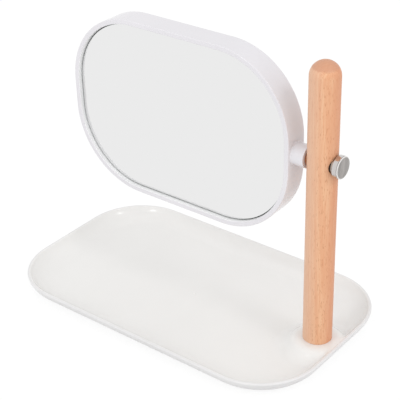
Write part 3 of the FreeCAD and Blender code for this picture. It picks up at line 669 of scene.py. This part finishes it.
rim_centre = (RIM_ROUND, tray_high.z - RIM_ROUND)
underside_centre_z = tray_low.z + UNDERSIDE_RADIUS
underside_centre = (RIM_ROUND + math.sqrt((UNDERSIDE_RADIUS - RIM_ROUND) ** 2
                                          - (underside_centre_z - rim_centre[1]) ** 2), underside_centre_z)
underside_turn = math.degrees(math.asin((underside_centre_z - rim_centre[1])
                                        / (UNDERSIDE_RADIUS - RIM_ROUND)))

floor_z = tray_high.z - DISH_DEPTH
lip_centre = (RIM_ROUND + RIM_FLAT, rim_centre[1])
dish_centre_z = floor_z + DISH_RADIUS
dish_centre = (lip_centre[0] + math.sqrt((DISH_RADIUS + RIM_ROUND) ** 2
                                         - (dish_centre_z - lip_centre[1]) ** 2), dish_centre_z)
dish_turn = math.degrees(math.asin((dish_centre_z - lip_centre[1]) / (DISH_RADIUS + RIM_ROUND)))

upper_section = (arc(rim_centre, RIM_ROUND, 180, 90, 6) + arc(lip_centre, RIM_ROUND, 90, dish_turn, 4)
                 + arc(dish_centre, DISH_RADIUS, 180 + dish_turn, 270, 16)[1:])
lower_section = (arc(rim_centre, RIM_ROUND, 180, 180 + underside_turn, 2)
                 + arc(underside_centre, UNDERSIDE_RADIUS, 180 + underside_turn, 270, 16)[1:])
print("The wall meets the floor", round(dish_centre[0] / MM, 2), "mm in from the widest line")

# %% [markdown]
# Edit mode works on what is selected. With the mouse, the right faces would be clicked. Here a test does
# it, of where a face or an edge lies and which way it looks. A shape that is done is cleaned up: points
# that fall together are joined, and all faces are turned outwards.

# %% Helpers for selecting and cleaning up
FLAT = 0.999        # a normal's share along an axis, past which its face counts as square to the axis
SAME_POINT = 0.001 * MM


def pick(piece, test):
    """Select just the faces whose centre and normal pass a test, ready to edit."""
    bpy.ops.object.mode_set(mode="EDIT")
    bpy.ops.mesh.select_mode(type="FACE")
    bpy.ops.mesh.select_all(action="DESELECT")
    bpy.ops.object.mode_set(mode="OBJECT")
    for face in piece.data.polygons:
        face.select = test(face.center, face.normal)
    bpy.ops.object.mode_set(mode="EDIT")


def pick_edges(piece, test):
    """Select just the edges of which both ends pass a test, ready to edit."""
    bpy.ops.object.mode_set(mode="EDIT")
    bpy.ops.mesh.select_mode(type="EDGE")
    bpy.ops.mesh.select_all(action="DESELECT")
    bpy.ops.object.mode_set(mode="OBJECT")
    ends = piece.data.vertices
    for edge in piece.data.edges:
        edge.select = all(test(ends[i].co) for i in edge.vertices)
    bpy.ops.object.mode_set(mode="EDIT")


def recalculate(piece):
    """Join points that fall together, turn all of a piece's faces outwards and leave edit mode."""
    bpy.ops.object.mode_set(mode="EDIT")
    bpy.ops.mesh.select_all(action="SELECT")
    bpy.ops.mesh.remove_doubles(threshold=SAME_POINT)
    bpy.ops.mesh.normals_make_consistent(inside=False)
    bpy.ops.object.mode_set(mode="OBJECT")


print("Faces and edges can be picked by a test")

# %% [markdown]
# The right end needs a fine mesh, because the boss rises there: its short straight edge is subdivided
# before the first inset, so that every ring has those points, and the floor's rings are a millimetre
# apart. Insets have to stop before they use up the corner's radius. From there the end's edges are
# extruded a little further in, and the flat middle of the floor is filled as one face.

# %% Model the tray's shell
TRAY_CORNER_RADIUS = 45.7 * MM
TRAY_CORNER_SEGMENTS = 56
BOSS_MESH = 1.0 * MM
FLOOR_RINGS = 28
END_ROWS = 4
BAND = 0.01 * MM

tray_size = tray_high - tray_low
tray = round_corners("tray_shell", tray_size.x, tray_size.y, TRAY_CORNER_RADIUS, TRAY_CORNER_SEGMENTS,
                     rim_centre[1])
pick_edges(tray, lambda end: end.x > tray_high.x - BAND)
end_length = tray_size.y - 2 * TRAY_CORNER_RADIUS
bpy.ops.mesh.subdivide(number_cuts=round(end_length / BOSS_MESH) - 1)

all_faces()
extrude_up(BAND)
floor_rings = [(dish_centre[0] + BOSS_MESH * (i + 1), floor_z) for i in range(FLOOR_RINGS)]
carry_inward([(0, rim_centre[1] + BAND)] + upper_section[1:] + floor_rings)
bpy.ops.mesh.delete(type="FACE")

middle_end = tray_high.x - floor_rings[-1][0]
for row in range(END_ROWS):
    row_x = middle_end - row * BOSS_MESH
    pick_edges(tray, lambda end: abs(end.x - row_x) < BAND and abs(end.z - floor_z) < BAND
               and abs(end.y) < end_length / 2 + BAND)
    bpy.ops.mesh.extrude_edges_move(TRANSFORM_OT_translate={"value": (-BOSS_MESH, 0, 0)})
bpy.ops.mesh.select_all(action="DESELECT")
bpy.ops.mesh.select_non_manifold()
bpy.ops.mesh.edge_face_add()

pick(tray, lambda centre, normal: abs(centre.z - rim_centre[1]) < BAND / 2 and abs(normal.z) > FLAT)
carry_inward(lower_section, outward=-1)
recalculate(tray)
print("The shell has", len(tray.data.polygons), "faces")

# %% [markdown]
# Now the boss. By hand it would be pulled up with proportional editing. Its section is known, though: a
# flat top under the post, a round shoulder, and a concave flank that runs out on the floor. So each
# point within reach is lifted to that height in code. Where the flank meets the wall of the dish, the
# two heights are added as powers, which gives the soft valley of a moulding instead of a crease.

# %% Raise the boss
BOSS_FLAT_RADIUS = 12.5 * MM
BOSS_SHOULDER = 8.0 * MM
BOSS_FLANK = 18.0 * MM
VALLEY_POWER = 3
LOOKS_UP = 0.1

boss_rise = post_low.z - floor_z
boss_slope = math.acos(1 - boss_rise / (BOSS_SHOULDER + BOSS_FLANK))
shoulder_end = BOSS_FLAT_RADIUS + BOSS_SHOULDER * math.sin(boss_slope)
boss_foot = shoulder_end + BOSS_FLANK * math.sin(boss_slope)


def boss_height(distance):
    """The boss's height above the floor at a distance from the post's axis."""
    if distance < BOSS_FLAT_RADIUS:
        return boss_rise
    if distance < shoulder_end:
        over = distance - BOSS_FLAT_RADIUS
        return boss_rise - BOSS_SHOULDER + math.sqrt(BOSS_SHOULDER ** 2 - over ** 2)
    if distance < boss_foot:
        return BOSS_FLANK - math.sqrt(BOSS_FLANK ** 2 - (boss_foot - distance) ** 2)
    return 0.0


for point in tray.data.vertices:
    rise = boss_height(math.hypot(point.co.x - post_x, point.co.y))
    if rise > 0 and point.normal.z > LOOKS_UP and point.co.z > floor_z - BAND:
        wall = max(point.co.z - floor_z, 0)
        joined = (wall ** VALLEY_POWER + rise ** VALLEY_POWER) ** (1 / VALLEY_POWER)
        point.co.z = floor_z + min(joined, max(wall, tray_high.z - floor_z - RIM_FLAT))
tray.data.update()
print("The boss's foot is", round(boss_foot / MM, 1), "mm from the post's axis")

# %% [markdown]
# Holes and joined parts come from Boolean modifiers, which need a second piece as a tool, here always a
# cylinder or a cone. A finished piece gets its place fixed in its mesh, smooth shading with sharp edges
# kept, its finish, and the body on which it moves.

# %% Helpers for cutting and finishing
def rod(diameter, start, length, along="Z", sides=64, widen=0.0):
    """A cylinder to cut or join with, from its start along an axis. It can widen to a cone."""
    turn = {"X": (0, math.pi / 2, 0), "Y": (-math.pi / 2, 0, 0), "Z": (0, 0, 0)}[along]
    middle = Vector(start)
    middle["XYZ".index(along)] += length / 2
    bpy.ops.mesh.primitive_cone_add(vertices=sides, radius1=diameter / 2, depth=abs(length),
                                    radius2=(diameter + widen) / 2, location=middle, rotation=turn)
    return bpy.context.object


def combine(piece, tool, operation):
    """Cut a tool from a piece, or join it to the piece, and delete the tool."""
    modifier = piece.modifiers.new("combine", "BOOLEAN")
    modifier.object = tool
    modifier.operation = operation
    modifier.solver = "EXACT"
    bpy.context.view_layer.objects.active = piece
    bpy.ops.object.modifier_apply(modifier=modifier.name)
    bpy.data.objects.remove(tool, do_unlink=True)


def drill(piece, diameter, start, length, **shape):
    """Cut a round hole in a piece, from its start along an axis."""
    combine(piece, rod(diameter, start, length, **shape), "DIFFERENCE")


def finish_piece(piece, body, slot, material, *nodes, crease=28):
    """Fix a piece's place in its mesh, shade it, give it its finish and let it ride on its body.

    The nodes are those of the working model whose shape it replaces."""
    bpy.ops.object.select_all(action="DESELECT")
    piece.select_set(True)
    bpy.context.view_layer.objects.active = piece
    bpy.ops.object.transform_apply(location=True, rotation=True, scale=True)
    bpy.ops.object.shade_smooth_by_angle(angle=math.radians(crease))
    weighted = piece.modifiers.new("weighted", "WEIGHTED_NORMAL")
    weighted.keep_sharp = True
    bpy.ops.object.modifier_apply(modifier=weighted.name)
    piece.data.materials.clear()
    piece.data.materials.append(material)
    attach(piece, body)
    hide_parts(*nodes)
    print(f"{piece.name}: {len(piece.data.polygons)} faces, on {body}")


print("Pieces can be drilled, joined and finished")

# %% [markdown]
# What is let into the tray from below is cut with Boolean modifiers: four seats for the pads, the recess
# of the post's screw with its hole, and the blind hole of the locating pin. On top, a shallow dimple at
# the middle of the floor is left by the gate, where the melt entered the mould. A sphere cuts it, so that
# its edge is soft.

# %% Cut the tray's seats, holes and gate dimple
PAD_SEAT_CLEARANCE = 0.2 * MM
PAD_SEAT_DEPTH = 0.5 * MM
SCREW_RECESS = 14.0 * MM
SCREW_HOLE = 5.5 * MM
PIN_CLEARANCE = 0.05 * MM
GATE_DIAMETER = 2.6 * MM
GATE_DEPTH = 0.3 * MM
BELOW = 5 * MM        # how far outside the piece a cut starts, so that it opens cleanly

pad_names = sorted(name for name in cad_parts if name.startswith("foot_pad"))
pad_places = [sum(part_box(name), Vector()) / 2 for name in pad_names]
pad_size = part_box(pad_names[0])[1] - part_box(pad_names[0])[0]
for middle in pad_places:
    drill(tray, pad_size.x + 2 * PAD_SEAT_CLEARANCE, (middle.x, middle.y, tray_low.z - BELOW),
          BELOW + PAD_SEAT_DEPTH)

recess_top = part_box("post_screw_washer")[1].z
drill(tray, SCREW_RECESS, (post_x, 0, tray_low.z - BELOW), recess_top - tray_low.z + BELOW)
drill(tray, SCREW_HOLE, (post_x, 0, tray_low.z), 2 * tray_size.z)
pin_low, pin_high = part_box("locating_pin")
pin_hole = pin_high.x - pin_low.x + 2 * PIN_CLEARANCE
pin_y = (pin_low.y + pin_high.y) / 2
drill(tray, pin_hole, (post_x, pin_y, pin_low.z), tray_size.z)
gate_sphere = ((GATE_DIAMETER / 2) ** 2 + GATE_DEPTH ** 2) / (2 * GATE_DEPTH)
bpy.ops.mesh.primitive_uv_sphere_add(segments=48, ring_count=96, radius=gate_sphere,
                                     location=(0, 0, floor_z - GATE_DEPTH + gate_sphere))
combine(tray, bpy.context.object, "DIFFERENCE")
finish_piece(tray, "stand", "white_moulding", tray_abs, "tray")

# %% [markdown]
# The mould of the tray is polished only inside, so the underside, the outer wall and the rim get the
# satin finish as a second material, in a darker white that is painted shade. Those are the faces that look
# down, and the faces that lie further out from the corners' centres than the dish does, unless they look
# inwards.

# %% Give the tray's outside its satin finish and painted shade
LOOKS_DOWN = -0.05
tray.data.materials.append(satin_abs_painted_shade)
straight = Vector((tray_size.x / 2 - TRAY_CORNER_RADIUS, tray_size.y / 2 - TRAY_CORNER_RADIUS))
dish_reach = TRAY_CORNER_RADIUS - RIM_ROUND - RIM_FLAT
for face in tray.data.polygons:
    nearest = Vector((max(-straight.x, min(straight.x, face.center.x)),
                      max(-straight.y, min(straight.y, face.center.y))))
    out = face.center.xy - nearest
    turned_in = out.dot(face.normal.xy) < -RIM_ROUND
    if face.normal.z < LOOKS_DOWN or out.length > dish_reach and not turned_in:
        face.material_index = 1
print(sum(face.material_index for face in tray.data.polygons), "faces of the tray are satin")

# %% [markdown]
# ## The post
# A dowel is turned, so it is modelled as a turner shapes it: a circle is extruded along the axis and
# resized at each step. The foot has a fine eased edge, and the top is a half sphere that closes in a
# point. Below it the clamp's bore and its two washer seats cross the post, and the foot has blind holes
# for the threaded insert and the pin.

# %% Turn the post and bore it
POST_EASE = 0.35 * MM
INSERT_CLEARANCE = 0.05 * MM
INSERT_RUN_OUT = 1.5 * MM
SEAT_CLEARANCE = 0.15 * MM
STUD_CLEARANCE = 0.1 * MM
PIN_END_GAP = 0.2 * MM
DOME_STEPS = 18
DOME_TIP = 0.01


def turned(name, section, sides=96, close=False):
    """Turn a piece about Z: a circle, moved and resized along a section of (radius, height)."""
    bpy.ops.mesh.primitive_circle_add(vertices=sides, radius=section[0][0], fill_type="NGON",
                                      location=(0, 0, section[0][1]))
    piece = bpy.context.object
    piece.name = name
    bpy.ops.object.transform_apply(location=True)
    bpy.ops.object.mode_set(mode="EDIT")
    all_faces()
    for (radius, height), (next_radius, next_height) in zip(section, section[1:]):
        extrude_up(next_height - height)
        growth = next_radius / radius
        bpy.ops.transform.resize(value=(growth, growth, 1), center_override=(0, 0, next_height))
    if close:
        bpy.ops.mesh.merge(type="COLLAPSE")
    recalculate(piece)
    return piece


post_size = post_high - post_low
dome_start = post_size.z - post_radius
dome = arc((0, dome_start), post_radius, 0, 90, DOME_STEPS)[1:-1]
post = turned("beech_post", [(post_radius - POST_EASE, 0), (post_radius, POST_EASE),
                             (post_radius, dome_start)] + dome
              + [(dome[-1][0] * DOME_TIP, post_size.z)], close=True)
post.location = (post_x, 0, post_low.z)
bpy.ops.object.transform_apply(location=True)

insert_low, insert_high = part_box("post_insert")
drill(post, insert_high.x - insert_low.x + 2 * INSERT_CLEARANCE, (post_x, 0, post_low.z - BELOW),
      BELOW + insert_high.z - insert_low.z + INSERT_RUN_OUT)
drill(post, pin_hole, (post_x, pin_y, post_low.z - BELOW), BELOW + pin_high.z - post_low.z + PIN_END_GAP)

stud_low, stud_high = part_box("clamp_stud")
pivot_z = (stud_low.z + stud_high.z) / 2
across_post = 2 * post_size.x
drill(post, stud_high.z - stud_low.z + 2 * STUD_CLEARANCE, (post_x - across_post / 2, 0, pivot_z),
      across_post, along="X")
for name, outward in (("friction_washer", -1), ("knob_washer", 1)):
    low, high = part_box(name)
    start = low.x if outward > 0 else high.x
    drill(post, high.z - low.z + 2 * SEAT_CLEARANCE, (start, 0, pivot_z), outward * BELOW, along="X")
finish_piece(post, "stand", "beech", lacquered_beech, "post")

# %% [markdown]
# ## The mirror's frame
# The frame is a moulding too: a rounded rectangle, 18 mm deep, with a slim lip round the glass and a thin
# web across its middle that the glass is taped to. It is modelled lying down, front up, because insets
# and extrusions then go straight up and down. The side wall is extruded first, then the front face is
# carried over the lip and down to the web, then the back face over its edge, down to the ledge of the
# back cover and on to the web. In the end it is tipped upright.

# %% Model the frame
housing_low, housing_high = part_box("mirror_housing")
glass_low, glass_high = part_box("mirror_glass")
cover_low, cover_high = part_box("back_cover")

mirror_middle = (glass_low + glass_high) / 2
mirror_length = 2 * (mirror_middle.x - housing_low.x)
mirror_height = housing_high.z - housing_low.z
MIRROR_CORNER_RADIUS = 55.0 * MM
MIRROR_CORNER_SEGMENTS = 72
EDGE_ROUND = 0.6 * MM
LIP_WIDTH = 3.5 * MM
FRAME_WALL = 4.2 * MM
COVER_LEDGE = 1.8 * MM
WEB = 2.0 * MM

front, back = -housing_low.y, -housing_high.y
web_front = -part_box("foam_tape_1")[1].y
cover_seat = -cover_low.y


def stand_up(piece):
    """Tip a piece that was modelled lying down, front up, into its place behind the glass."""
    bpy.ops.object.mode_set(mode="OBJECT")
    piece.rotation_euler = (math.pi / 2, 0, 0)
    piece.location = (mirror_middle.x, 0, mirror_middle.z)
    bpy.ops.object.transform_apply(location=True, rotation=True, scale=True)


frame_piece = round_corners("mirror_frame", mirror_length, mirror_height, MIRROR_CORNER_RADIUS,
                            MIRROR_CORNER_SEGMENTS, back + EDGE_ROUND)
all_faces()
extrude_up(front - back - 2 * EDGE_ROUND)
outer_round = arc((EDGE_ROUND, front - EDGE_ROUND), EDGE_ROUND, 180, 90, 5)
inner_round = arc((LIP_WIDTH - EDGE_ROUND, front - EDGE_ROUND), EDGE_ROUND, 90, 0, 5)
carry_inward(outer_round + inner_round + [(LIP_WIDTH, web_front)])

pick(frame_piece, lambda centre, normal: normal.z < -FLAT)
back_round = arc((EDGE_ROUND, back + EDGE_ROUND), EDGE_ROUND, 180, 270, 5)
ledge_start = FRAME_WALL - COVER_LEDGE
carry_inward(back_round + [(ledge_start, back)], outward=-1)
# down to the cover's seat, in over its ledge, and on to the back of the web
extrude_up(cover_seat - back)
bpy.ops.mesh.inset(thickness=COVER_LEDGE, use_even_offset=True)
extrude_up(web_front - WEB - cover_seat)
recalculate(frame_piece)
stand_up(frame_piece)
print("The frame has", len(frame_piece.data.polygons), "faces")

# %% [markdown]
# The neck is moulded in one piece with the frame, so it is joined with a union. It meets the side wall
# in a small fillet, and its free end has a fine eased edge. Inside, four round bosses stand on the web
# for the screws of the back cover, each with a pilot hole, and the neck is bored for its insert. Each
# boss starts a little inside the web, because a union of two solids that only touch can fail.

# %% Add the neck and the screw bosses
NECK_DIAMETER = 15.2 * MM
NECK_EASE = 0.3 * MM
EASE_MIDDLE = 0.3       # where the middle point of an eased edge lies, as a share of the ease
NECK_FLARE = 0.8 * MM
FLARE_STEPS = 6
NECK_ROOT = 2.1 * MM
SCREW_BOSS = 7.0 * MM
SCREW_DIAMETER = 2.6 * MM
SCREW_CLEARANCE = 0.05 * MM
EMBED = 0.4 * MM

neck_end = housing_high.x
neck_start = mirror_middle.x + mirror_length / 2 - NECK_ROOT
neck_length = neck_end - neck_start
neck_radius = NECK_DIAMETER / 2
flare = arc((neck_radius + NECK_FLARE, NECK_ROOT + NECK_FLARE), NECK_FLARE, 270, 180, FLARE_STEPS)[1:]
neck = turned("neck", [(flare[0][0], 0)] + flare
              + [(neck_radius, neck_length - NECK_EASE),
                 (neck_radius - EASE_MIDDLE * NECK_EASE, neck_length - EASE_MIDDLE * NECK_EASE),
                 (neck_radius - NECK_EASE, neck_length)])
neck.rotation_euler = (0, math.pi / 2, 0)
neck.location = (neck_start, 0, pivot_z)
bpy.ops.object.transform_apply(location=True, rotation=True)
combine(frame_piece, neck, "UNION")
neck_insert_low, neck_insert_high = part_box("neck_insert")
drill(frame_piece, neck_insert_high.z - neck_insert_low.z + 2 * INSERT_CLEARANCE,
      (neck_end + BELOW, 0, pivot_z),
      -(BELOW + neck_insert_high.x - neck_insert_low.x + INSERT_RUN_OUT), along="X")

web_back = WEB - web_front
screw_hole = SCREW_DIAMETER + 2 * SCREW_CLEARANCE
screw_names = sorted(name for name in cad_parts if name.startswith("cover_screw"))
for name in screw_names:
    low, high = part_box(name)
    middle = (low + high) / 2
    combine(frame_piece, rod(SCREW_BOSS, (middle.x, web_back - EMBED, middle.z),
                             cover_low.y - web_back + EMBED, along="Y"), "UNION")
    drill(frame_piece, screw_hole, (middle.x, low.y - EMBED, middle.z),
          cover_low.y - low.y + 2 * EMBED, along="Y")
finish_piece(frame_piece, "mirror", "white_moulding", frame_abs, "mirror_housing")

# %% [markdown]
# A mirror throws light on the step round the glass. The renderer leaves out light that comes by way of a
# mirror, so the step gets a whiter colour instead, which is painted light: those are the faces in front of
# the web that look inwards and stand upright.

# %% Brighten the step round the glass
STEP_UPRIGHT = 0.5
frame_piece.data.materials.append(lip_abs)
for face in frame_piece.data.polygons:
    inward = (face.center - mirror_middle).dot(face.normal) < 0
    if inward and abs(face.normal.y) < STEP_UPRIGHT and face.center.y < -web_front:
        face.material_index = 1
print(sum(face.material_index for face in frame_piece.data.polygons), "faces of the frame are brighter")

# %% [markdown]
# ## The glass
# The glass is a plate with the frame's outline, smaller by the lip and a small gap, with a ground bevel
# round its front. The back cover is such a plate too, so one function models both: an outline is
# extruded to its thickness and then carried over its edge.

# %% Model the glass
GLASS_BEVEL = 0.2 * MM


def plate(name, low, high, chamfer):
    """A flat plate with the frame's outline, whose outer face is the one further from the middle.

    The chamfer is the height of its edge and then the steps in and up that the edge makes."""
    size = high - low
    radius = MIRROR_CORNER_RADIUS - (mirror_length - size.x) / 2
    inner, outer = sorted((-low.y, -high.y), key=abs)
    thickness = abs(outer - inner) - chamfer[0][1]
    outwards = 1 if outer > inner else -1
    piece = round_corners(name, size.x, size.z, radius, MIRROR_CORNER_SEGMENTS, inner)
    all_faces()
    extrude_up(outwards * thickness)
    for step_in, step_up in chamfer[1:]:
        bpy.ops.mesh.inset(thickness=step_in, use_even_offset=True)
        bpy.ops.transform.translate(value=(0, 0, outwards * step_up))
    recalculate(piece)
    stand_up(piece)
    return piece


glass = plate("silvered_glass", glass_low, glass_high, [(0, GLASS_BEVEL), (GLASS_BEVEL, GLASS_BEVEL)])
finish_piece(glass, "mirror", "mirror_glass", mirror_silver, "mirror_glass")

# %% [markdown]
# ## The back cover
# The cover is a plate let into the back of the frame. Its outer edge is rounded, and it has countersunk
# holes for its four screws: a plain hole, and a cone that widens as fast as it comes out.

# %% Model the back cover
COVER_ROUND = 0.5 * MM
COVER_ROUND_STEPS = 4
SCREW_HEAD = 5.0 * MM

cover_edge = arc((COVER_ROUND, 0), COVER_ROUND, 180, 90, COVER_ROUND_STEPS)
cover_steps = [(b[0] - a[0], b[1] - a[1]) for a, b in zip(cover_edge, cover_edge[1:])]
cover = plate("frame_back_cover", cover_low, cover_high, [(0, COVER_ROUND)] + cover_steps)
sink_depth = (SCREW_HEAD - SCREW_DIAMETER) / 2
for name in screw_names:
    low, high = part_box(name)
    middle = (low + high) / 2
    drill(cover, screw_hole, (middle.x, cover_low.y - EMBED, middle.z), 2 * BELOW, along="Y")
    drill(cover, screw_hole, (middle.x, cover_high.y - sink_depth, middle.z), sink_depth + EMBED,
          along="Y", widen=2 * (sink_depth + EMBED))
finish_piece(cover, "mirror", "white_moulding", matt_abs, "back_cover")

# %% [markdown]
# ## The clamp knob
# The knob is turned from bar and plated, so it is modelled like the post. A fine groove runs round it
# behind the face, its front edge has a bevel that catches the light, and the back has the bore for the
# stud. The face falls off by a little over a tenth of a millimetre near its edge, and sharp edges are
# broken, as plating needs.

# %% Turn the knob
KNOB_BEVEL = 0.35 * MM
KNOB_BACK_BEVEL = 0.3 * MM
KNOB_GROOVE_FROM_FACE = 0.65 * MM
KNOB_GROOVE_WIDTH = 0.3 * MM
KNOB_GROOVE_DEPTH = 0.4 * MM
BROKEN_EDGE = 0.04 * MM
CROWN_HEIGHT = 0.15 * MM
CROWN_WIDTH = 0.8 * MM
CROWN_STEPS = 4

knob_low, knob_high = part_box("knob_head")
knob_radius = (knob_high.z - knob_low.z) / 2
knob_length = knob_high.x - knob_low.x
groove_front = knob_length - KNOB_GROOVE_FROM_FACE
groove_back = groove_front - KNOB_GROOVE_WIDTH
groove_floor = knob_radius - KNOB_GROOVE_DEPTH
face_radius = knob_radius - KNOB_BEVEL
face_edge = knob_length - CROWN_HEIGHT
bevel_start = face_edge - KNOB_BEVEL
crown = [(face_radius - CROWN_WIDTH * i / CROWN_STEPS,
          knob_length - CROWN_HEIGHT * (1 - i / CROWN_STEPS) ** 2) for i in range(1, CROWN_STEPS + 1)]
knob = turned("clamp_knob", [
    (knob_radius - KNOB_BACK_BEVEL, 0), (knob_radius, KNOB_BACK_BEVEL),
    (knob_radius, groove_back - BROKEN_EDGE), (knob_radius - BROKEN_EDGE, groove_back),
    (groove_floor, groove_back), (groove_floor, groove_front),
    (knob_radius - BROKEN_EDGE, groove_front), (knob_radius, groove_front + BROKEN_EDGE),
    (knob_radius, bevel_start), (face_radius, face_edge)] + crown, sides=128)
knob.rotation_euler = (0, math.pi / 2, 0)
knob.location = (knob_low.x, 0, pivot_z)
bpy.ops.object.transform_apply(location=True, rotation=True)
drill(knob, stud_high.z - stud_low.z, (knob_low.x - BELOW, 0, pivot_z),
      BELOW + stud_high.x - knob_low.x, along="X")
finish_piece(knob, "knob", "polished_chrome", brushed_chrome, "knob_head")

# %% [markdown]
# ## The foot pads
# Four rubber pads are alike, so one is modelled and copied, each copy with its own mesh. The pad has an
# eased edge and a shallow ring round its middle, which grips a smooth table.

# %% Model one pad and copy it
PAD_EASE = 0.25 * MM
PAD_RING = 3.4 * MM
PAD_RING_WIDTH = 0.9 * MM
PAD_RING_DEPTH = 0.3 * MM

pad_radius = pad_size.x / 2
pad = turned("pad_1", [(pad_radius, pad_size.z), (pad_radius, PAD_EASE), (pad_radius - PAD_EASE, 0),
                       (PAD_RING + PAD_RING_WIDTH, 0), (PAD_RING + PAD_RING_WIDTH, PAD_RING_DEPTH),
                       (PAD_RING, PAD_RING_DEPTH), (PAD_RING, 0)], sides=64)
pads = [pad]
for number in range(2, len(pad_names) + 1):
    copy = pad.copy()
    copy.data = pad.data.copy()
    copy.name = f"pad_{number}"
    bpy.context.scene.collection.objects.link(copy)
    pads.append(copy)
for piece, name, middle in zip(pads, pad_names, pad_places):
    piece.location = (middle.x, middle.y, 0)
    finish_piece(piece, "stand", "pad_rubber", pad_rubber, name)

# %% [markdown]
# ## The small pieces
# Screws, inserts, washers and tapes keep the shape of the working model. Each only gets its finish.

# %% Finish the pieces that keep their shape
FINISHES = {
    "post_screw": zinc_plate, "post_screw_washer": zinc_plate, "locating_pin": zinc_plate,
    "clamp_stud": zinc_plate, "cover_screw": zinc_plate, "knob_washer": washer_steel_painted_shade,
    "post_insert": turned_brass, "neck_insert": turned_brass,
    "friction_washer": pressed_fibre, "foam_tape": foam,
}
for name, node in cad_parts.items():
    stem = name.rstrip("0123456789_")
    if stem in FINISHES:
        for material_slot in node.material_slots:
            material_slot.material = FINISHES[stem]
        print(name, "is", FINISHES[stem].name)

# %% [markdown]
# ## The size
# Everything together has to fill the same box as the working model, so its box is printed.

# %% Print the finished object's box
low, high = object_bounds()
print("The finished object is", [round(side / MM, 1) for side in high - low], "mm")
